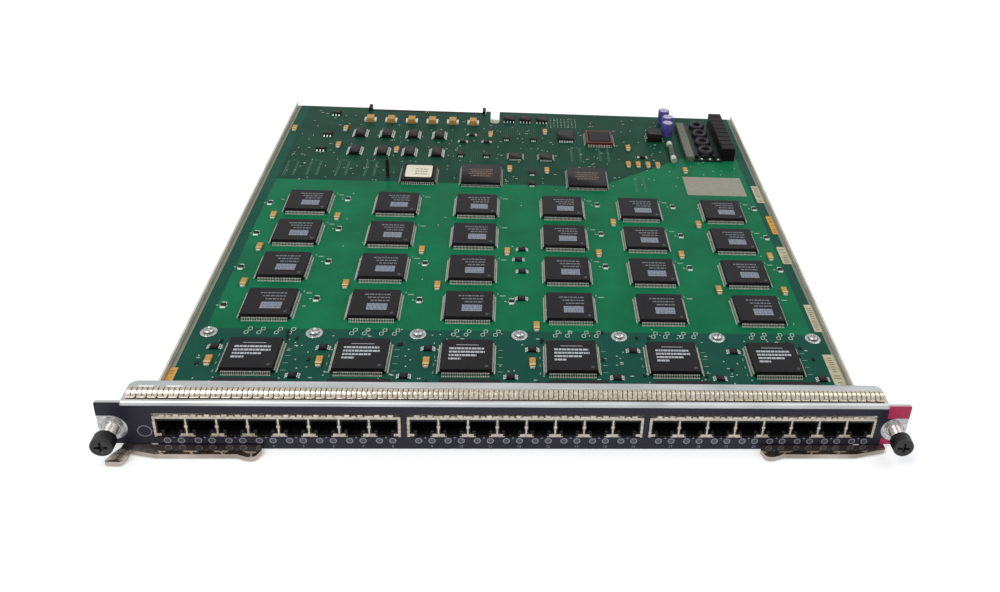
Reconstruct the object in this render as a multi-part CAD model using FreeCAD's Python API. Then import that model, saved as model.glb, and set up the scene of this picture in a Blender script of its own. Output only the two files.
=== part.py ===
"""Switch line card: a row of network ports on a circuit board, in a sheet-metal carrier.

Millimetres.  X runs along the front panel, Y from the panel towards the back of the card, Z up.
X = 0 is the middle of the panel, Y = 0 its rear face, which seats on the chassis, and Z = 0 the
underside of the card.
"""
import FreeCAD, Part
import math
import os

# ---- front panel: one folded sheet ----
PANEL_SHEET = 1.5
PANEL_HEIGHT = 27.6
BEND_RADIUS = 2.0
FLANGE_DEPTH = 14.0
FLANGE_INSET = 11.3
FLANGE_CORNER = 4.0
LOWER_FLANGE_INSET = 30.6
EAR_WIDTH = 16.5
EAR_SHOULDER = 0.6
OVERLAY_THICKNESS = 0.3
ACCENT_FOOT = 6.2
ACCENT_FOOT_HEIGHT = 4.2

# ---- thumbscrews ----
SCREW_INSET = 5.9
SCREW_HEIGHT = 12.7
SCREW_SHANK_RADIUS = 2.0
SCREW_HEAD_RADIUS = 5.2
SCREW_HEAD_LENGTH = 6.7
SCREW_HEAD_FACE = 1.6
SCREW_HEAD_LAP = 0.3
SCREW_RECESS_RADIUS = 2.6
SCREW_RECESS = 0.8
SCREW_TIP = 3.0
BUSH_RADIUS = 3.5
BUSH_LENGTH = 7.4
BARE_RING_RADIUS = 7.25
RING_RADIUS = 3.3
RING_THICKNESS = 0.6
GROOVE_DEPTH = 0.5
SHAFT_CLEARANCE = 0.07
RUNNING_GAP = 0.3
ROUND_SIDES = 20
BARE_RING_SIDES = 36
SOFT_CORNER = 2.5

# ---- ejector levers ----
LEVER_THICKNESS = 2.4
LEVER_LIFT = 0.6
LEVER_REACH = 58.8
LEVER_WIDTH = 6.4
LEVER_STANDOFF = 0.5
LEVER_CURL = 1.9
LEVER_CURL_LENGTH = 11.0
LEVER_CAM = 5.5
LEVER_TAB_WIDTH = 8.2
LEVER_TAB_REACH = 9.0
PIVOT_INSET = 15.1
PIVOT_BEHIND = 5.2
PIVOT_RADIUS = 2.0
PIVOT_BOSS = 5.0
PIVOT_HEAD_RADIUS = 3.2
PIVOT_HEAD = 0.5
BRACKET_SHEET = 1.2
BRACKET_WIDTH = 8.6
BRACKET_UPRIGHT = 4.0
LEVER_NOTCH_INSET = 25.6

# ---- ports ----
PORT_COUNT = 8
PORT_PITCH = 13.97
BANK_EDGE = 0.8
BANK_GAP = 2.99
BANK_OFFSET = 4.1
JACK_DEPTH = 15.8
JACK_HEIGHT = 12.2
JACK_PROUD = 0.3
SHIELD_SHEET = 0.3
PORT_WIDTH = 11.9
PORT_HEIGHT = 6.9
PORT_FLOOR = 2.6
PORT_DEPTH = 12.6
LATCH_WIDTH = 6.2
LATCH_DROP = 1.8
DIVIDER_WIDTH = 0.8
TOP_BAR = 2.1
SILL = 0.6
FOOT_WIDTH = 5.8
FOOT_HEIGHT = 1.5
FINGER_HEIGHT = 1.4
FINGER_SPACING = 8.9
WINDOW_MARGIN = 0.35
CONTACT_COUNT = 8
CONTACT_PITCH = 1.02
CONTACT_WIDTH = 0.4
CONTACT_DROP = 1.6

# ---- indicator lights ----
LIGHT_SPACING = 6.3
LIGHT_HEIGHT = 5.1
LIGHT_SLOT_INSET = 3.2
LIGHT_SLOT_HEIGHT = 2.2
LIGHT_WIDTH = 1.6
LIGHT_DEPTH = 1.4
STATUS_INSET = 20.4
STATUS_HEIGHT = 10.8
STATUS_RADIUS = 2.4

# ---- board and carrier tray ----
BOARD_THICKNESS = 2.0
BOARD_HEIGHT = 5.6
BOARD_FRONT = 2.2
REAR_ZONE = 160.4
TRAY_SHEET = 1.0
TRAY_SIDE_GAP = 0.3
TRAY_BACK_GAP = 1.2
TRAY_WALL_ABOVE_BOARD = 3.2
LAP_INSET = 13.0
LAP_DEPTH = 8.0
LAP_GAP = 0.3
NOTCH_PLACE = -10.8
NOTCH_WIDTH = 7.2
NOTCH_DEPTH = 22.8

# ---- backplane connector ----
CONNECTOR_LENGTH = 94.5
CONNECTOR_MIDDLE = -41.7
CONNECTOR_RECESS = 6.2
CONNECTOR_DEPTH = 18.0
CONNECTOR_PROUD = 2.0
CONNECTOR_CLEARANCE = 0.3
CONNECTOR_SLOT = 1.6
CONNECTOR_SLOT_DEPTH = 8.0
CONNECTOR_POST = 2.4
CONNECTOR_POST_RISE = 2.4
PIN_COUNT = 22
PIN_PITCH = 4.1
PIN_WIDTH = 2.0
PIN_DEPTH = 1.8
PIN_RISE = 1.4

# ---- board fixings ----
CELL_SHORTFALL = 4.85
CELL_OFFSET = 0.9
SCREW_ROW = 21.5
BOARD_SCREW_RADIUS = 1.5
SCREW_BITE = 3.0
BOARD_SCREW_HEAD = 3.1
BOARD_SCREW_HEAD_HEIGHT = 1.9
WASHER_RADIUS = 4.7
WASHER_THICKNESS = 0.5
STANDOFF_RADIUS = 3.2

# ---- gasket ----
GASKET_PITCH = 4.76
GASKET_SLOT = 0.7
GASKET_END = 0.8
GASKET_SHEET = 0.25
GASKET_DEPTH = 8.1
GASKET_BASE = 1.1
GASKET_RISE = 2.6
GASKET_CREST = 0.45
GASKET_SET_BACK = 0.9

# ---- large chips ----
CHIP_SPREAD = 58.2
CHIP_ROWS = 4
CHIP_ROW_PITCH = 39.07
CHIP_FIRST_ROW = 46.2
CHIP_BODY = 24.0
CHIP_HEIGHT = 3.8
CHIP_LEAD = 1.9
CHIP_LEAD_THICKNESS = 0.3
CHIP_FLOAT = 0.3
FRONT_CHIP_SPREAD = 56.2
FRONT_CHIP_BODY = 25.2
FRONT_CHIP_GAP = 10.3
MAGNETIC_WIDTH = 32.0
MAGNETIC_DEPTH = 16.2
MAGNETIC_HEIGHT = 6.0
MAGNETIC_SHIFT = 2.5
MAGNETIC_GAP = 4.2

# ---- small parts: (width, depth, height) ----
CAPACITOR = (4.2, 6.6, 1.9)
SMALL_CAPACITOR = (3.5, 6.0, 1.7)
CONNECTOR_CAPACITOR = (7.3, 6.8, 3.0)
TWO_PAD = (5.5, 3.6, 0.7)
SMALL_CIRCUIT = (4.6, 4.0, 1.4)
DRIVER_CHIP = (7.5, 12.8, 2.5)
SMALL_OUTLINE = (5.0, 6.2, 1.6)
WIDE_CHIP = (12.4, 17.0, 2.6)
TRANSISTOR = (9.0, 9.4, 2.3)
SMALL_CONTROLLER = (10.0, 10.0, 1.6)
CONTROLLER = (28.0, 28.0, 3.4)
SOCKET = (21.0, 22.0, 3.6)
LABELLED_SOCKET = (24.0, 23.6, 3.6)
SOCKET_WALL = 2.0
INDUCTOR = (12.0, 12.0, 7.0)
CAN_RADIUS = 4.5
CAN_HEIGHT = 11.5
FUSE_RADIUS = 2.4
FUSE_LENGTH = 30.0
POST_HEIGHT = 16.5
POST_RADIUS = 1.3
CONVERTER_DEPTH = 66.0
CONVERTER_STRIP_LENGTH = 62.0
CONVERTER_STRIP_SHIFT = 4.5
CONVERTER_WIDTH = 38.0
CONVERTER_STRIP = 6.5
CONVERTER_STRIP_HEIGHT = 4.4
CONVERTER_BLOCK = 10.3
CONVERTER_BLOCK_HEIGHT = 10.7
COIL_RADIUS = 6.5
COIL_BORE = 2.6
COIL_HEIGHT = 6.0
COIL_PITCH = 15.0
COIL_COUNT = 4
LABEL_THICKNESS = 0.12

# ---- where the rear parts sit: (hundredths of the half width, distance from the back edge) ----
REAR_CAPACITORS = ((-97.0, 44.3), (-75.4, 41.9), (-76.0, 71.1), (-51.4, 76.6), (-12.3, 44.7),
                   (-3.6, 102.4), (11.8, 37.3), (11.8, 103.7), (48.0, 62.0), (70.5, 97.5))
REAR_CIRCUITS = ((-20.5, 46.0), (-24.1, 58.2), (-13.9, 57.6), (-82.1, 52.5), (53.5, 76.7),
                 (-82.6, 77.6), (-81.9, 13.8))
SMALL_OUTLINES = ((-24.3, 80.6), (-13.6, 80.7), (-5.3, 50.4), (6.6, 50.6), (5.6, 107.3), (5.5, 124.4))
SMALL_CONTROLLERS = ((-1.3, 81.5), (11.6, 81.6))
CONTROLLERS = ((-15.1, 115.8), (28.0, 116.4))
CONNECTOR_CAPACITOR_ROW = (-66.0, 24.6, 9.11, 6)
CAPACITOR_ROW = (46.7, 90.0, 4.2, 4)
DRIVER_ROWS = (-68.4, (49.3, 79.6), 11.3, 4)
TRANSISTOR_ROW = (-4.4, 14.9, 7.46, 3)
WIDE_CHIP_PLACE = (20.9, 44.8)
SOCKET_PLACE = (35.6, 48.8)
LABELLED_SOCKET_PLACE = (-40.0, 116.4)
CAN_PLACES = ((67.2, 35.2), (67.2, 11.3))
INDUCTOR_PLACE = (60.8, 43.3)
FUSE_PLACE = (66.7, 70.0)
POST_PLACE = (-52.3, 119.1)
CONVERTER_PLACE = (83.0, 45.8)
BARE_PAD = (80.8, 120.6, 43.3, 28.0)

# ---- which large chips have a capacitor or a two-pad part beside them, by row and column ----
CAPACITOR_LEFT = ("...x..", "xxx..x", "x.....", "x...xx")
CAPACITOR_RIGHT = ("......", ".....x", ".xxxxx", "x.....")
SIDE_PART_LEFT = 7.5
SIDE_PART_RIGHT = 9.3
SIDE_PART_FORWARD = 4.8
TWO_PAD_OUT = 12.5
TWO_PAD_BACK = 7.5
EDGE_PART_OUT = 13.3
FRONT_PART_OUT = 8.6
FRONT_PART_BACK = 8.6
FRONT_PART_BESIDE = 10.9
FRONT_PART_FORWARD = 14.5
FRONT_CAPACITOR_FORWARD = 3.2
MIDDLE_CIRCUITS = ((1.5, 64.7), (-0.7, 52.7), (1.5, 39.4), (1.1, 10.4))
EDGE_LABELS = ((131.1, 25.0, 5.4), (174.6, 24.0, 4.1), (213.3, 20.6, 6.0), (282.1, 27.0, 4.7), (329.6, 26.0, 6.4))
LABEL_MARGIN = 1.2
CORNER_LABEL = (4.0, 14.3)
TWO_PAD_RIGHT = ("xxx...", "xx.xxx", "x..xxx", "x..xxx")

# ---- places and thicknesses worked out from the sizes above ----
BANK_WIDTH = PORT_COUNT * PORT_PITCH + 2 * BANK_EDGE
BANK_PITCH = BANK_WIDTH + BANK_GAP
BANKS = {"left": BANK_OFFSET - BANK_PITCH, "centre": BANK_OFFSET, "right": BANK_OFFSET + BANK_PITCH}
BOARD_HALF = BANK_OFFSET + BANK_PITCH + BANK_WIDTH / 2
BOARD_TOP = BOARD_HEIGHT + BOARD_THICKNESS
HALF_PANEL = BOARD_HALF + EAR_WIDTH
PANEL_FRONT = -PANEL_SHEET
FACE = PANEL_FRONT - OVERLAY_THICKNESS
FLANGE_HALF = HALF_PANEL - FLANGE_INSET
LOWER_FLANGE_HALF = HALF_PANEL - LOWER_FLANGE_INSET
SCREW_X = HALF_PANEL - SCREW_INSET
BUSH_FRONT = PANEL_FRONT - BUSH_LENGTH
HEAD_BACK = BUSH_FRONT + SCREW_HEAD_LAP
HEAD_FRONT = HEAD_BACK - SCREW_HEAD_LENGTH
RING_BACK = RUNNING_GAP + RING_THICKNESS
LEVER_TOP = LEVER_LIFT + LEVER_THICKNESS
LEVER_NOTCH_HEIGHT = LEVER_TOP + RUNNING_GAP
NOTCH_FROM = HALF_PANEL - LEVER_NOTCH_INSET
PIVOT_X = HALF_PANEL - PIVOT_INSET
JACK_FRONT = FACE - JACK_PROUD
JACK_BACK = JACK_FRONT + JACK_DEPTH
SHIELD_TOP = BOARD_TOP + JACK_HEIGHT
CELL_PITCH = BANK_PITCH - CELL_SHORTFALL
MAGNETIC_ROW = JACK_BACK + MAGNETIC_GAP + MAGNETIC_DEPTH / 2
FRONT_CHIP_ROW = MAGNETIC_ROW + MAGNETIC_DEPTH / 2 + FRONT_CHIP_GAP + FRONT_CHIP_BODY / 2
BOARD_SCREW_ROW = FRONT_CHIP_ROW + SCREW_ROW
FIRST_ROW = FRONT_CHIP_ROW + CHIP_FIRST_ROW
BOARD_BACK = FIRST_ROW + CHIP_ROW_PITCH * (CHIP_ROWS - 1) + REAR_ZONE
TRAY_FRONT = FLANGE_DEPTH + LAP_GAP
TRAY_BACK = BOARD_BACK - TRAY_BACK_GAP
TRAY_HALF = BOARD_HALF + TRAY_SIDE_GAP + TRAY_SHEET
RECESS_Y = BOARD_BACK - CONNECTOR_RECESS
X_AXIS = FreeCAD.Vector(1, 0, 0)
Y_AXIS = FreeCAD.Vector(0, 1, 0)
Z_AXIS = FreeCAD.Vector(0, 0, 1)


def block(x0, x1, y0, y1, z0, z1):
    """Box between two corners."""
    return Part.makeBox(x1 - x0, y1 - y0, z1 - z0, FreeCAD.Vector(x0, y0, z0))


def seated(x, y, size, lift=0.0):
    """Box of a (width, depth, height) centred on a place of the board, standing on it."""
    width, depth, height = size
    low = BOARD_TOP + lift
    return block(x - width / 2, x + width / 2, y - depth / 2, y + depth / 2, low, BOARD_TOP + height)


def rod(x, y, z, radius, length, axis=Z_AXIS):
    """Round bar that starts at a point and runs along an axis."""
    return Part.makeCylinder(radius, length, FreeCAD.Vector(x, y, z), axis)


def facets(x, y, z, radius, height, sides=12):
    """Upright bar of regular section, for small round pieces that nothing turns on."""
    points = []
    for i in range(sides):
        angle = math.pi * (2 * i + 1) / sides
        points.append(FreeCAD.Vector(x + radius * math.cos(angle), y + radius * math.sin(angle), z))
    return Part.Face(Part.makePolygon(points + points[:1])).extrude(Z_AXIS * height)


def facets_back(x, y, z, radius, length, sides=12):
    """The same bar lying down: it starts at a point and runs towards the back of the card."""
    bar = facets(0, 0, 0, radius, length, sides)
    bar.rotate(FreeCAD.Vector(0, 0, 0), X_AXIS, -90)
    bar.translate(FreeCAD.Vector(x, y, z))
    return bar


def fused(shapes):
    """One solid from shapes that touch, without the seams between them."""
    return shapes[0].multiFuse(shapes[1:]).removeSplitter()


def group(shapes):
    """Separate like solids that share a node."""
    return Part.makeCompound(shapes)


def mirrored(shape):
    """The same shape on the other side of the card's middle."""
    return shape.mirror(FreeCAD.Vector(0, 0, 0), X_AXIS)


def pair(shape):
    """A shape on the right of the card together with its twin on the left."""
    return group([shape, mirrored(shape)])


def across(share):
    """X of a place given in hundredths of the board's half width."""
    return BOARD_HALF * share / 100


def from_back(distance):
    """Y of a place given from the board's back edge."""
    return BOARD_BACK - distance


def rounded_wire(corners):
    """Closed outline through corners (point, radius): large radii are arcs, small ones two short runs."""
    count = len(corners)
    ends = []
    for i, (point, radius) in enumerate(corners):
        before = (corners[i - 1][0] - point).normalize()
        after = (corners[(i + 1) % count][0] - point).normalize()
        if not radius:
            ends.append((point, point, point, 0))
            continue
        half = before.getAngle(after) / 2
        reach = radius / math.tan(half)
        middle = point + (before + after).normalize() * (radius / math.sin(half) - radius)
        ends.append((point + before * reach, middle, point + after * reach, radius))
    edges = []
    for i, (start, middle, stop, radius) in enumerate(ends):
        if radius > SOFT_CORNER:
            edges.append(Part.Arc(start, middle, stop).toShape())
        elif radius:
            edges += [Part.makeLine(start, middle), Part.makeLine(middle, stop)]
        following = ends[(i + 1) % count][0]
        if stop.distanceToPoint(following) > 1e-6:
            edges.append(Part.makeLine(stop, following))
    return Part.Wire(edges)


def plate_xz(corners, y0, y1):
    """Upright plate with a rounded outline, corners (x, z, radius)."""
    wire = rounded_wire([(FreeCAD.Vector(x, y0, z), radius) for x, z, radius in corners])
    return Part.Face(wire).extrude(Y_AXIS * (y1 - y0))


def plate_xy(corners, z0, z1):
    """Flat plate with a rounded outline, corners (x, y, radius)."""
    wire = rounded_wire([(FreeCAD.Vector(x, y, z0), radius) for x, y, radius in corners])
    return Part.Face(wire).extrude(Z_AXIS * (z1 - z0))


def bar_yz(corners, x0, x1):
    """Bar along X whose section is a polygon of (y, z) corners."""
    points = [FreeCAD.Vector(x0, y, z) for y, z in corners]
    return Part.Face(Part.makePolygon(points + points[:1])).extrude(X_AXIS * (x1 - x0))


# ---- front panel ----

def ear_outline():
    """Outline of the flat front: down to the foot, round each ear and along under the bend."""
    foot = SCREW_HEIGHT - SCREW_INSET
    right = [
        (NOTCH_FROM, 0, 0),
        (NOTCH_FROM, LEVER_NOTCH_HEIGHT, 0),
        (SCREW_X, LEVER_NOTCH_HEIGHT, 0),
        (SCREW_X, foot, 0),
        (HALF_PANEL, foot, SCREW_INSET),
        (HALF_PANEL, PANEL_HEIGHT, EAR_SHOULDER),
        (FLANGE_HALF, PANEL_HEIGHT, 0),
        (FLANGE_HALF, PANEL_HEIGHT - BEND_RADIUS, 0),
    ]
    left = [(-x, z, radius) for x, z, radius in reversed(right)]
    return right + left


def port_places(x):
    """Middles of the ports of one bank."""
    first = x - PORT_PITCH * (PORT_COUNT - 1) / 2
    return [first + PORT_PITCH * i for i in range(PORT_COUNT)]


def bank_window(x, y0, y1):
    """Opening round one bank of jacks and the spring tabs above it."""
    half = BANK_WIDTH / 2 + WINDOW_MARGIN
    top = SHIELD_TOP + FINGER_HEIGHT + WINDOW_MARGIN
    return block(x - half, x + half, y0, y1, BOARD_TOP - WINDOW_MARGIN, top)


def light_bar(x, y0, y1):
    """Bar that fills the slot below one bank of ports."""
    half = BANK_WIDTH / 2 - LIGHT_SLOT_INSET
    rise = LIGHT_SLOT_HEIGHT / 2
    return block(x - half, x + half, y0, y1, LIGHT_HEIGHT - rise, LIGHT_HEIGHT + rise)


def quarter_arc(radius):
    """Quarter circle of the bend at the flange's left end, from the front to the top."""
    y = PANEL_FRONT + BEND_RADIUS
    z = PANEL_HEIGHT - BEND_RADIUS
    diagonal = radius * math.sqrt(0.5)
    front = FreeCAD.Vector(-FLANGE_HALF, y - radius, z)
    middle = FreeCAD.Vector(-FLANGE_HALF, y - diagonal, z + diagonal)
    return Part.Arc(front, middle, FreeCAD.Vector(-FLANGE_HALF, y, z + radius)).toShape()


def top_flange():
    """Bend and top flange, with the flange's two rear corners rounded."""
    inner = BEND_RADIUS - PANEL_SHEET
    bend_y = PANEL_FRONT + BEND_RADIUS
    bend_z = PANEL_HEIGHT - BEND_RADIUS
    low = Part.makeLine(
        FreeCAD.Vector(-FLANGE_HALF, PANEL_FRONT, bend_z), FreeCAD.Vector(-FLANGE_HALF, bend_y - inner, bend_z))
    back = Part.makeLine(
        FreeCAD.Vector(-FLANGE_HALF, bend_y, bend_z + inner), FreeCAD.Vector(-FLANGE_HALF, bend_y, PANEL_HEIGHT))
    outline = Part.Wire(Part.__sortEdges__([quarter_arc(BEND_RADIUS), quarter_arc(inner), low, back]))
    bend = Part.Face(outline).extrude(X_AXIS * (2 * FLANGE_HALF))
    flat = plate_xy([
        (-FLANGE_HALF, bend_y, 0), (FLANGE_HALF, bend_y, 0),
        (FLANGE_HALF, FLANGE_DEPTH, FLANGE_CORNER), (-FLANGE_HALF, FLANGE_DEPTH, FLANGE_CORNER),
    ], PANEL_HEIGHT - PANEL_SHEET, PANEL_HEIGHT)
    return [bend, flat]


def front_panel():
    """Folded channel with jack windows, light slots and a hole for each thumbscrew bush."""
    face = plate_xz(ear_outline(), PANEL_FRONT, 0)
    lower = block(-LOWER_FLANGE_HALF, LOWER_FLANGE_HALF, 0, FLANGE_DEPTH, 0, PANEL_SHEET)
    panel = fused([face, lower] + top_flange())
    through = PANEL_SHEET + 2
    cuts = [facets_back(status_place(), PANEL_FRONT - 1, STATUS_HEIGHT, STATUS_RADIUS, through)]
    for x in BANKS.values():
        cuts.append(bank_window(x, PANEL_FRONT - 1, 1))
        cuts.append(light_bar(x, PANEL_FRONT - 1, 1))
    for x in (-SCREW_X, SCREW_X):
        cuts.append(facets_back(x, PANEL_FRONT - 1, SCREW_HEIGHT, BUSH_RADIUS, through, ROUND_SIDES))
    return panel.cut(group(cuts))


def status_place():
    """Where the card's own status light shines through the panel."""
    return -HALF_PANEL + STATUS_INSET


def film():
    """Printed film over the whole flat front, open at the jacks and from each thumbscrew to the ear's edge."""
    cuts = [bank_window(x, FACE - 1, 0) for x in BANKS.values()]
    low = SCREW_HEIGHT - BARE_RING_RADIUS
    high = SCREW_HEIGHT + BARE_RING_RADIUS
    cuts.append(pair(block(SCREW_X, HALF_PANEL + 1, FACE - 1, 0, low, high)))
    for x in (-SCREW_X, SCREW_X):
        cuts.append(facets_back(x, FACE - 1, SCREW_HEIGHT, BARE_RING_RADIUS, OVERLAY_THICKNESS + 2, BARE_RING_SIDES))
    return plate_xz(ear_outline(), FACE, PANEL_FRONT).cut(group(cuts))


def accent_zones():
    """The two coloured zones at the right end of the film."""
    upper = block(FLANGE_HALF, HALF_PANEL + 1, FACE - 1, 0, SCREW_HEIGHT + BARE_RING_RADIUS, PANEL_HEIGHT + 1)
    foot_top = LEVER_NOTCH_HEIGHT + ACCENT_FOOT_HEIGHT
    lower = block(SCREW_X - ACCENT_FOOT, SCREW_X + 1, FACE - 1, 0, LEVER_NOTCH_HEIGHT - 1, foot_top)
    return group([upper, lower])


def gasket():
    """Strip of bowed spring fingers along the top flange, one continuous foot in front."""
    room = 2 * (FLANGE_HALF - GASKET_END)
    count = int((room + GASKET_SLOT) / GASKET_PITCH)
    start = -(count * GASKET_PITCH - GASKET_SLOT) / 2
    low = PANEL_HEIGHT
    front = GASKET_SET_BACK
    seam = front + GASKET_BASE
    back = front + GASKET_DEPTH
    middle = seam + (back - seam) * GASKET_CREST
    crest = low + GASKET_RISE
    section = [
        (seam, low), (middle, crest - GASKET_SHEET), (back, low), (back, low + GASKET_SHEET),
        (middle, crest), (seam, low + GASKET_SHEET),
    ]
    width = GASKET_PITCH - GASKET_SLOT
    foot = block(start, start + count * GASKET_PITCH - GASKET_SLOT, front, seam, low, low + GASKET_SHEET)
    fingers = [bar_yz(section, start + GASKET_PITCH * i, start + GASKET_PITCH * i + width) for i in range(count)]
    return fused([foot] + fingers)


# ---- thumbscrews ----

def screw_bush():
    """Ferrule pressed into the panel, bored through for the screw's shank."""
    length = BUSH_LENGTH + PANEL_SHEET
    body = facets_back(SCREW_X, BUSH_FRONT, SCREW_HEIGHT, BUSH_RADIUS, length, ROUND_SIDES)
    bore = rod(SCREW_X, BUSH_FRONT - 1, SCREW_HEIGHT, SCREW_SHANK_RADIUS + SHAFT_CLEARANCE, length + 2, Y_AXIS)
    return body.cut(bore)


def thumbscrew():
    """Screw with a hollow head that slips over its bush, a cross recess and a groove for its ring."""
    head = facets_back(SCREW_X, HEAD_FRONT, SCREW_HEIGHT, SCREW_HEAD_RADIUS, SCREW_HEAD_LENGTH, ROUND_SIDES)
    hollow_at = HEAD_FRONT + SCREW_HEAD_FACE
    hollow_radius = BUSH_RADIUS + RUNNING_GAP + 0.1
    hollow = facets_back(SCREW_X, hollow_at, SCREW_HEIGHT, hollow_radius, SCREW_HEAD_LENGTH, ROUND_SIDES)
    tip = RING_BACK + SCREW_TIP
    shank = rod(SCREW_X, hollow_at, SCREW_HEIGHT, SCREW_SHANK_RADIUS, tip - hollow_at, Y_AXIS)
    wide = 2 * SCREW_SHANK_RADIUS
    groove = rod(SCREW_X, RUNNING_GAP, SCREW_HEIGHT, wide, RING_THICKNESS, Y_AXIS).cut(
        rod(SCREW_X, RUNNING_GAP, SCREW_HEIGHT, SCREW_SHANK_RADIUS - GROOVE_DEPTH, RING_THICKNESS, Y_AXIS))
    arm = SCREW_RECESS_RADIUS
    deep = HEAD_FRONT + SCREW_HEAD_FACE + SCREW_RECESS
    z = SCREW_HEIGHT
    flat_arm = block(SCREW_X - arm, SCREW_X + arm, HEAD_FRONT - 1, deep, z - 0.5, z + 0.5)
    tall_arm = block(SCREW_X - 0.5, SCREW_X + 0.5, HEAD_FRONT - 1, deep, z - arm, z + arm)
    screw = fused([head.cut(hollow), shank])
    return screw.cut(groove).cut(fused([flat_arm, tall_arm]))


def retaining_ring():
    """Ring in the shank's groove, which keeps the screw in its bush."""
    inner = (SCREW_SHANK_RADIUS - GROOVE_DEPTH + SHAFT_CLEARANCE) / math.cos(math.pi / 12)
    ring = facets_back(SCREW_X, RUNNING_GAP, SCREW_HEIGHT, RING_RADIUS, RING_THICKNESS)
    return ring.cut(facets_back(SCREW_X, 0, SCREW_HEIGHT, inner, RUNNING_GAP + RING_THICKNESS + 1))


# ---- ejector levers ----

def lever_blank():
    """Right lever without its pivot hole: round boss, neck under the panel and handle with a curled end."""
    rear = FACE - LEVER_STANDOFF
    front = rear - LEVER_WIDTH
    end = PIVOT_X - LEVER_REACH
    curl = front - LEVER_CURL
    corners = [
        (PIVOT_X + LEVER_CAM, rear - 2.8, 1.2),
        (PIVOT_X - 1.0, rear - 4.2, 0),
        (PIVOT_X - 2 * LEVER_CAM, front, 3.0),
        (end + LEVER_CURL_LENGTH, front, 4.0),
        (end + LEVER_CURL_LENGTH - 5.0, curl, 2.0),
        (end + 2.2, curl, 2.2),
        (end, rear - LEVER_WIDTH / 2, 1.5),
        (end + 1.6, rear, 1.2),
        (PIVOT_X - LEVER_CAM - 2.0, rear, 1.5),
        (PIVOT_X - PIVOT_BOSS + 0.3, PIVOT_BEHIND, 0),
        (PIVOT_X + PIVOT_BOSS - 0.3, PIVOT_BEHIND, 0),
    ]
    handle = plate_xy(corners, LEVER_LIFT, LEVER_TOP)
    boss = rod(PIVOT_X, PIVOT_BEHIND, LEVER_LIFT, PIVOT_BOSS, LEVER_THICKNESS)
    return fused([handle, boss])


def lever_tab():
    """Flat tab that reaches forward beside the left thumbscrew, drawn for the right side."""
    root = FACE - LEVER_STANDOFF - 2.1
    out = PIVOT_X + LEVER_CAM
    tip = root - LEVER_TAB_REACH
    return plate_xy([
        (out - 4.5, root, 0), (out, root, 0), (out + 2.2, root - 3.2, 1.5), (out + 4.8, tip, 0.8),
        (out + 4.8 - LEVER_TAB_WIDTH, tip - 0.4, 1.8), (out - 4.4, root - 5.8, 1.0),
    ], LEVER_LIFT, LEVER_TOP)


def ejector_lever(with_tab):
    """Lever for the right end, bored to turn on its rivet."""
    blank = fused([lever_blank(), lever_tab()]) if with_tab else lever_blank()
    hole = rod(PIVOT_X, PIVOT_BEHIND, 0, PIVOT_RADIUS + SHAFT_CLEARANCE, LEVER_TOP + 1)
    return blank.cut(hole)


def lever_bracket():
    """Angle bracket behind the panel that carries the pivot over the lever's boss."""
    low = LEVER_TOP + RUNNING_GAP
    x0 = PIVOT_X - BRACKET_WIDTH / 2
    x1 = PIVOT_X + BRACKET_WIDTH / 2
    depth = PIVOT_BEHIND + BRACKET_WIDTH / 2
    flat = block(x0, x1, 0, depth, low, low + BRACKET_SHEET)
    upright = block(x0, x1, 0, BRACKET_SHEET, low, low + BRACKET_UPRIGHT)
    hole = rod(PIVOT_X, PIVOT_BEHIND, low - 1, PIVOT_RADIUS, BRACKET_SHEET + 2)
    return fused([flat, upright]).cut(hole)


def lever_rivet():
    """Pivot rivet: wide head under the lever, shank set flush in the bracket."""
    top = LEVER_TOP + RUNNING_GAP + BRACKET_SHEET
    head = facets(PIVOT_X, PIVOT_BEHIND, LEVER_LIFT - PIVOT_HEAD, PIVOT_HEAD_RADIUS, PIVOT_HEAD)
    shank = rod(PIVOT_X, PIVOT_BEHIND, LEVER_LIFT, PIVOT_RADIUS, top - LEVER_LIFT)
    return fused([head, shank])


# ---- ports ----

def jack_shield(x):
    """Sheet cover of one bank: front with a window per port, roof, sides, back and a spring tab per port."""
    half = BANK_WIDTH / 2
    s = SHIELD_SHEET
    outer = block(x - half, x + half, JACK_FRONT, JACK_BACK, BOARD_TOP, SHIELD_TOP)
    inner = block(x - half + s, x + half - s, JACK_FRONT + s, JACK_BACK - s, BOARD_TOP - 1, SHIELD_TOP - s)
    foot_top = BOARD_TOP + SILL + FOOT_HEIGHT
    window_top = SHIELD_TOP - TOP_BAR
    wide = (PORT_PITCH - DIVIDER_WIDTH) / 2
    narrow = (PORT_PITCH - FOOT_WIDTH) / 2
    behind = JACK_FRONT + s
    cuts = [inner]
    adds = []
    for px in port_places(x):
        upper = block(px - wide, px + wide, JACK_FRONT - 1, behind, foot_top, window_top)
        lower = block(px - narrow, px + narrow, JACK_FRONT - 1, behind, BOARD_TOP + SILL, foot_top)
        cuts += [upper, lower]
        w = FINGER_SPACING / 2
        adds.append(block(px - w, px + w, JACK_FRONT, behind, SHIELD_TOP, SHIELD_TOP + FINGER_HEIGHT))
    return fused([outer.cut(group(cuts))] + adds)


def jack_housing(x):
    """Moulded block inside the shield, with a socket and a latch channel per port."""
    half = BANK_WIDTH / 2 - SHIELD_SHEET
    front = JACK_FRONT + SHIELD_SHEET
    body = block(x - half, x + half, front, JACK_BACK - SHIELD_SHEET, BOARD_TOP, SHIELD_TOP - SHIELD_SHEET)
    floor = BOARD_TOP + PORT_FLOOR
    cuts = []
    for px in port_places(x):
        socket = block(px - PORT_WIDTH / 2, px + PORT_WIDTH / 2, front - 1, front + PORT_DEPTH,
                       floor, floor + PORT_HEIGHT)
        latch = block(px - LATCH_WIDTH / 2, px + LATCH_WIDTH / 2, front - 1, front + PORT_DEPTH,
                      floor - LATCH_DROP, floor)
        cuts.append(fused([socket, latch]))
    return body.cut(group(cuts))


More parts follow.
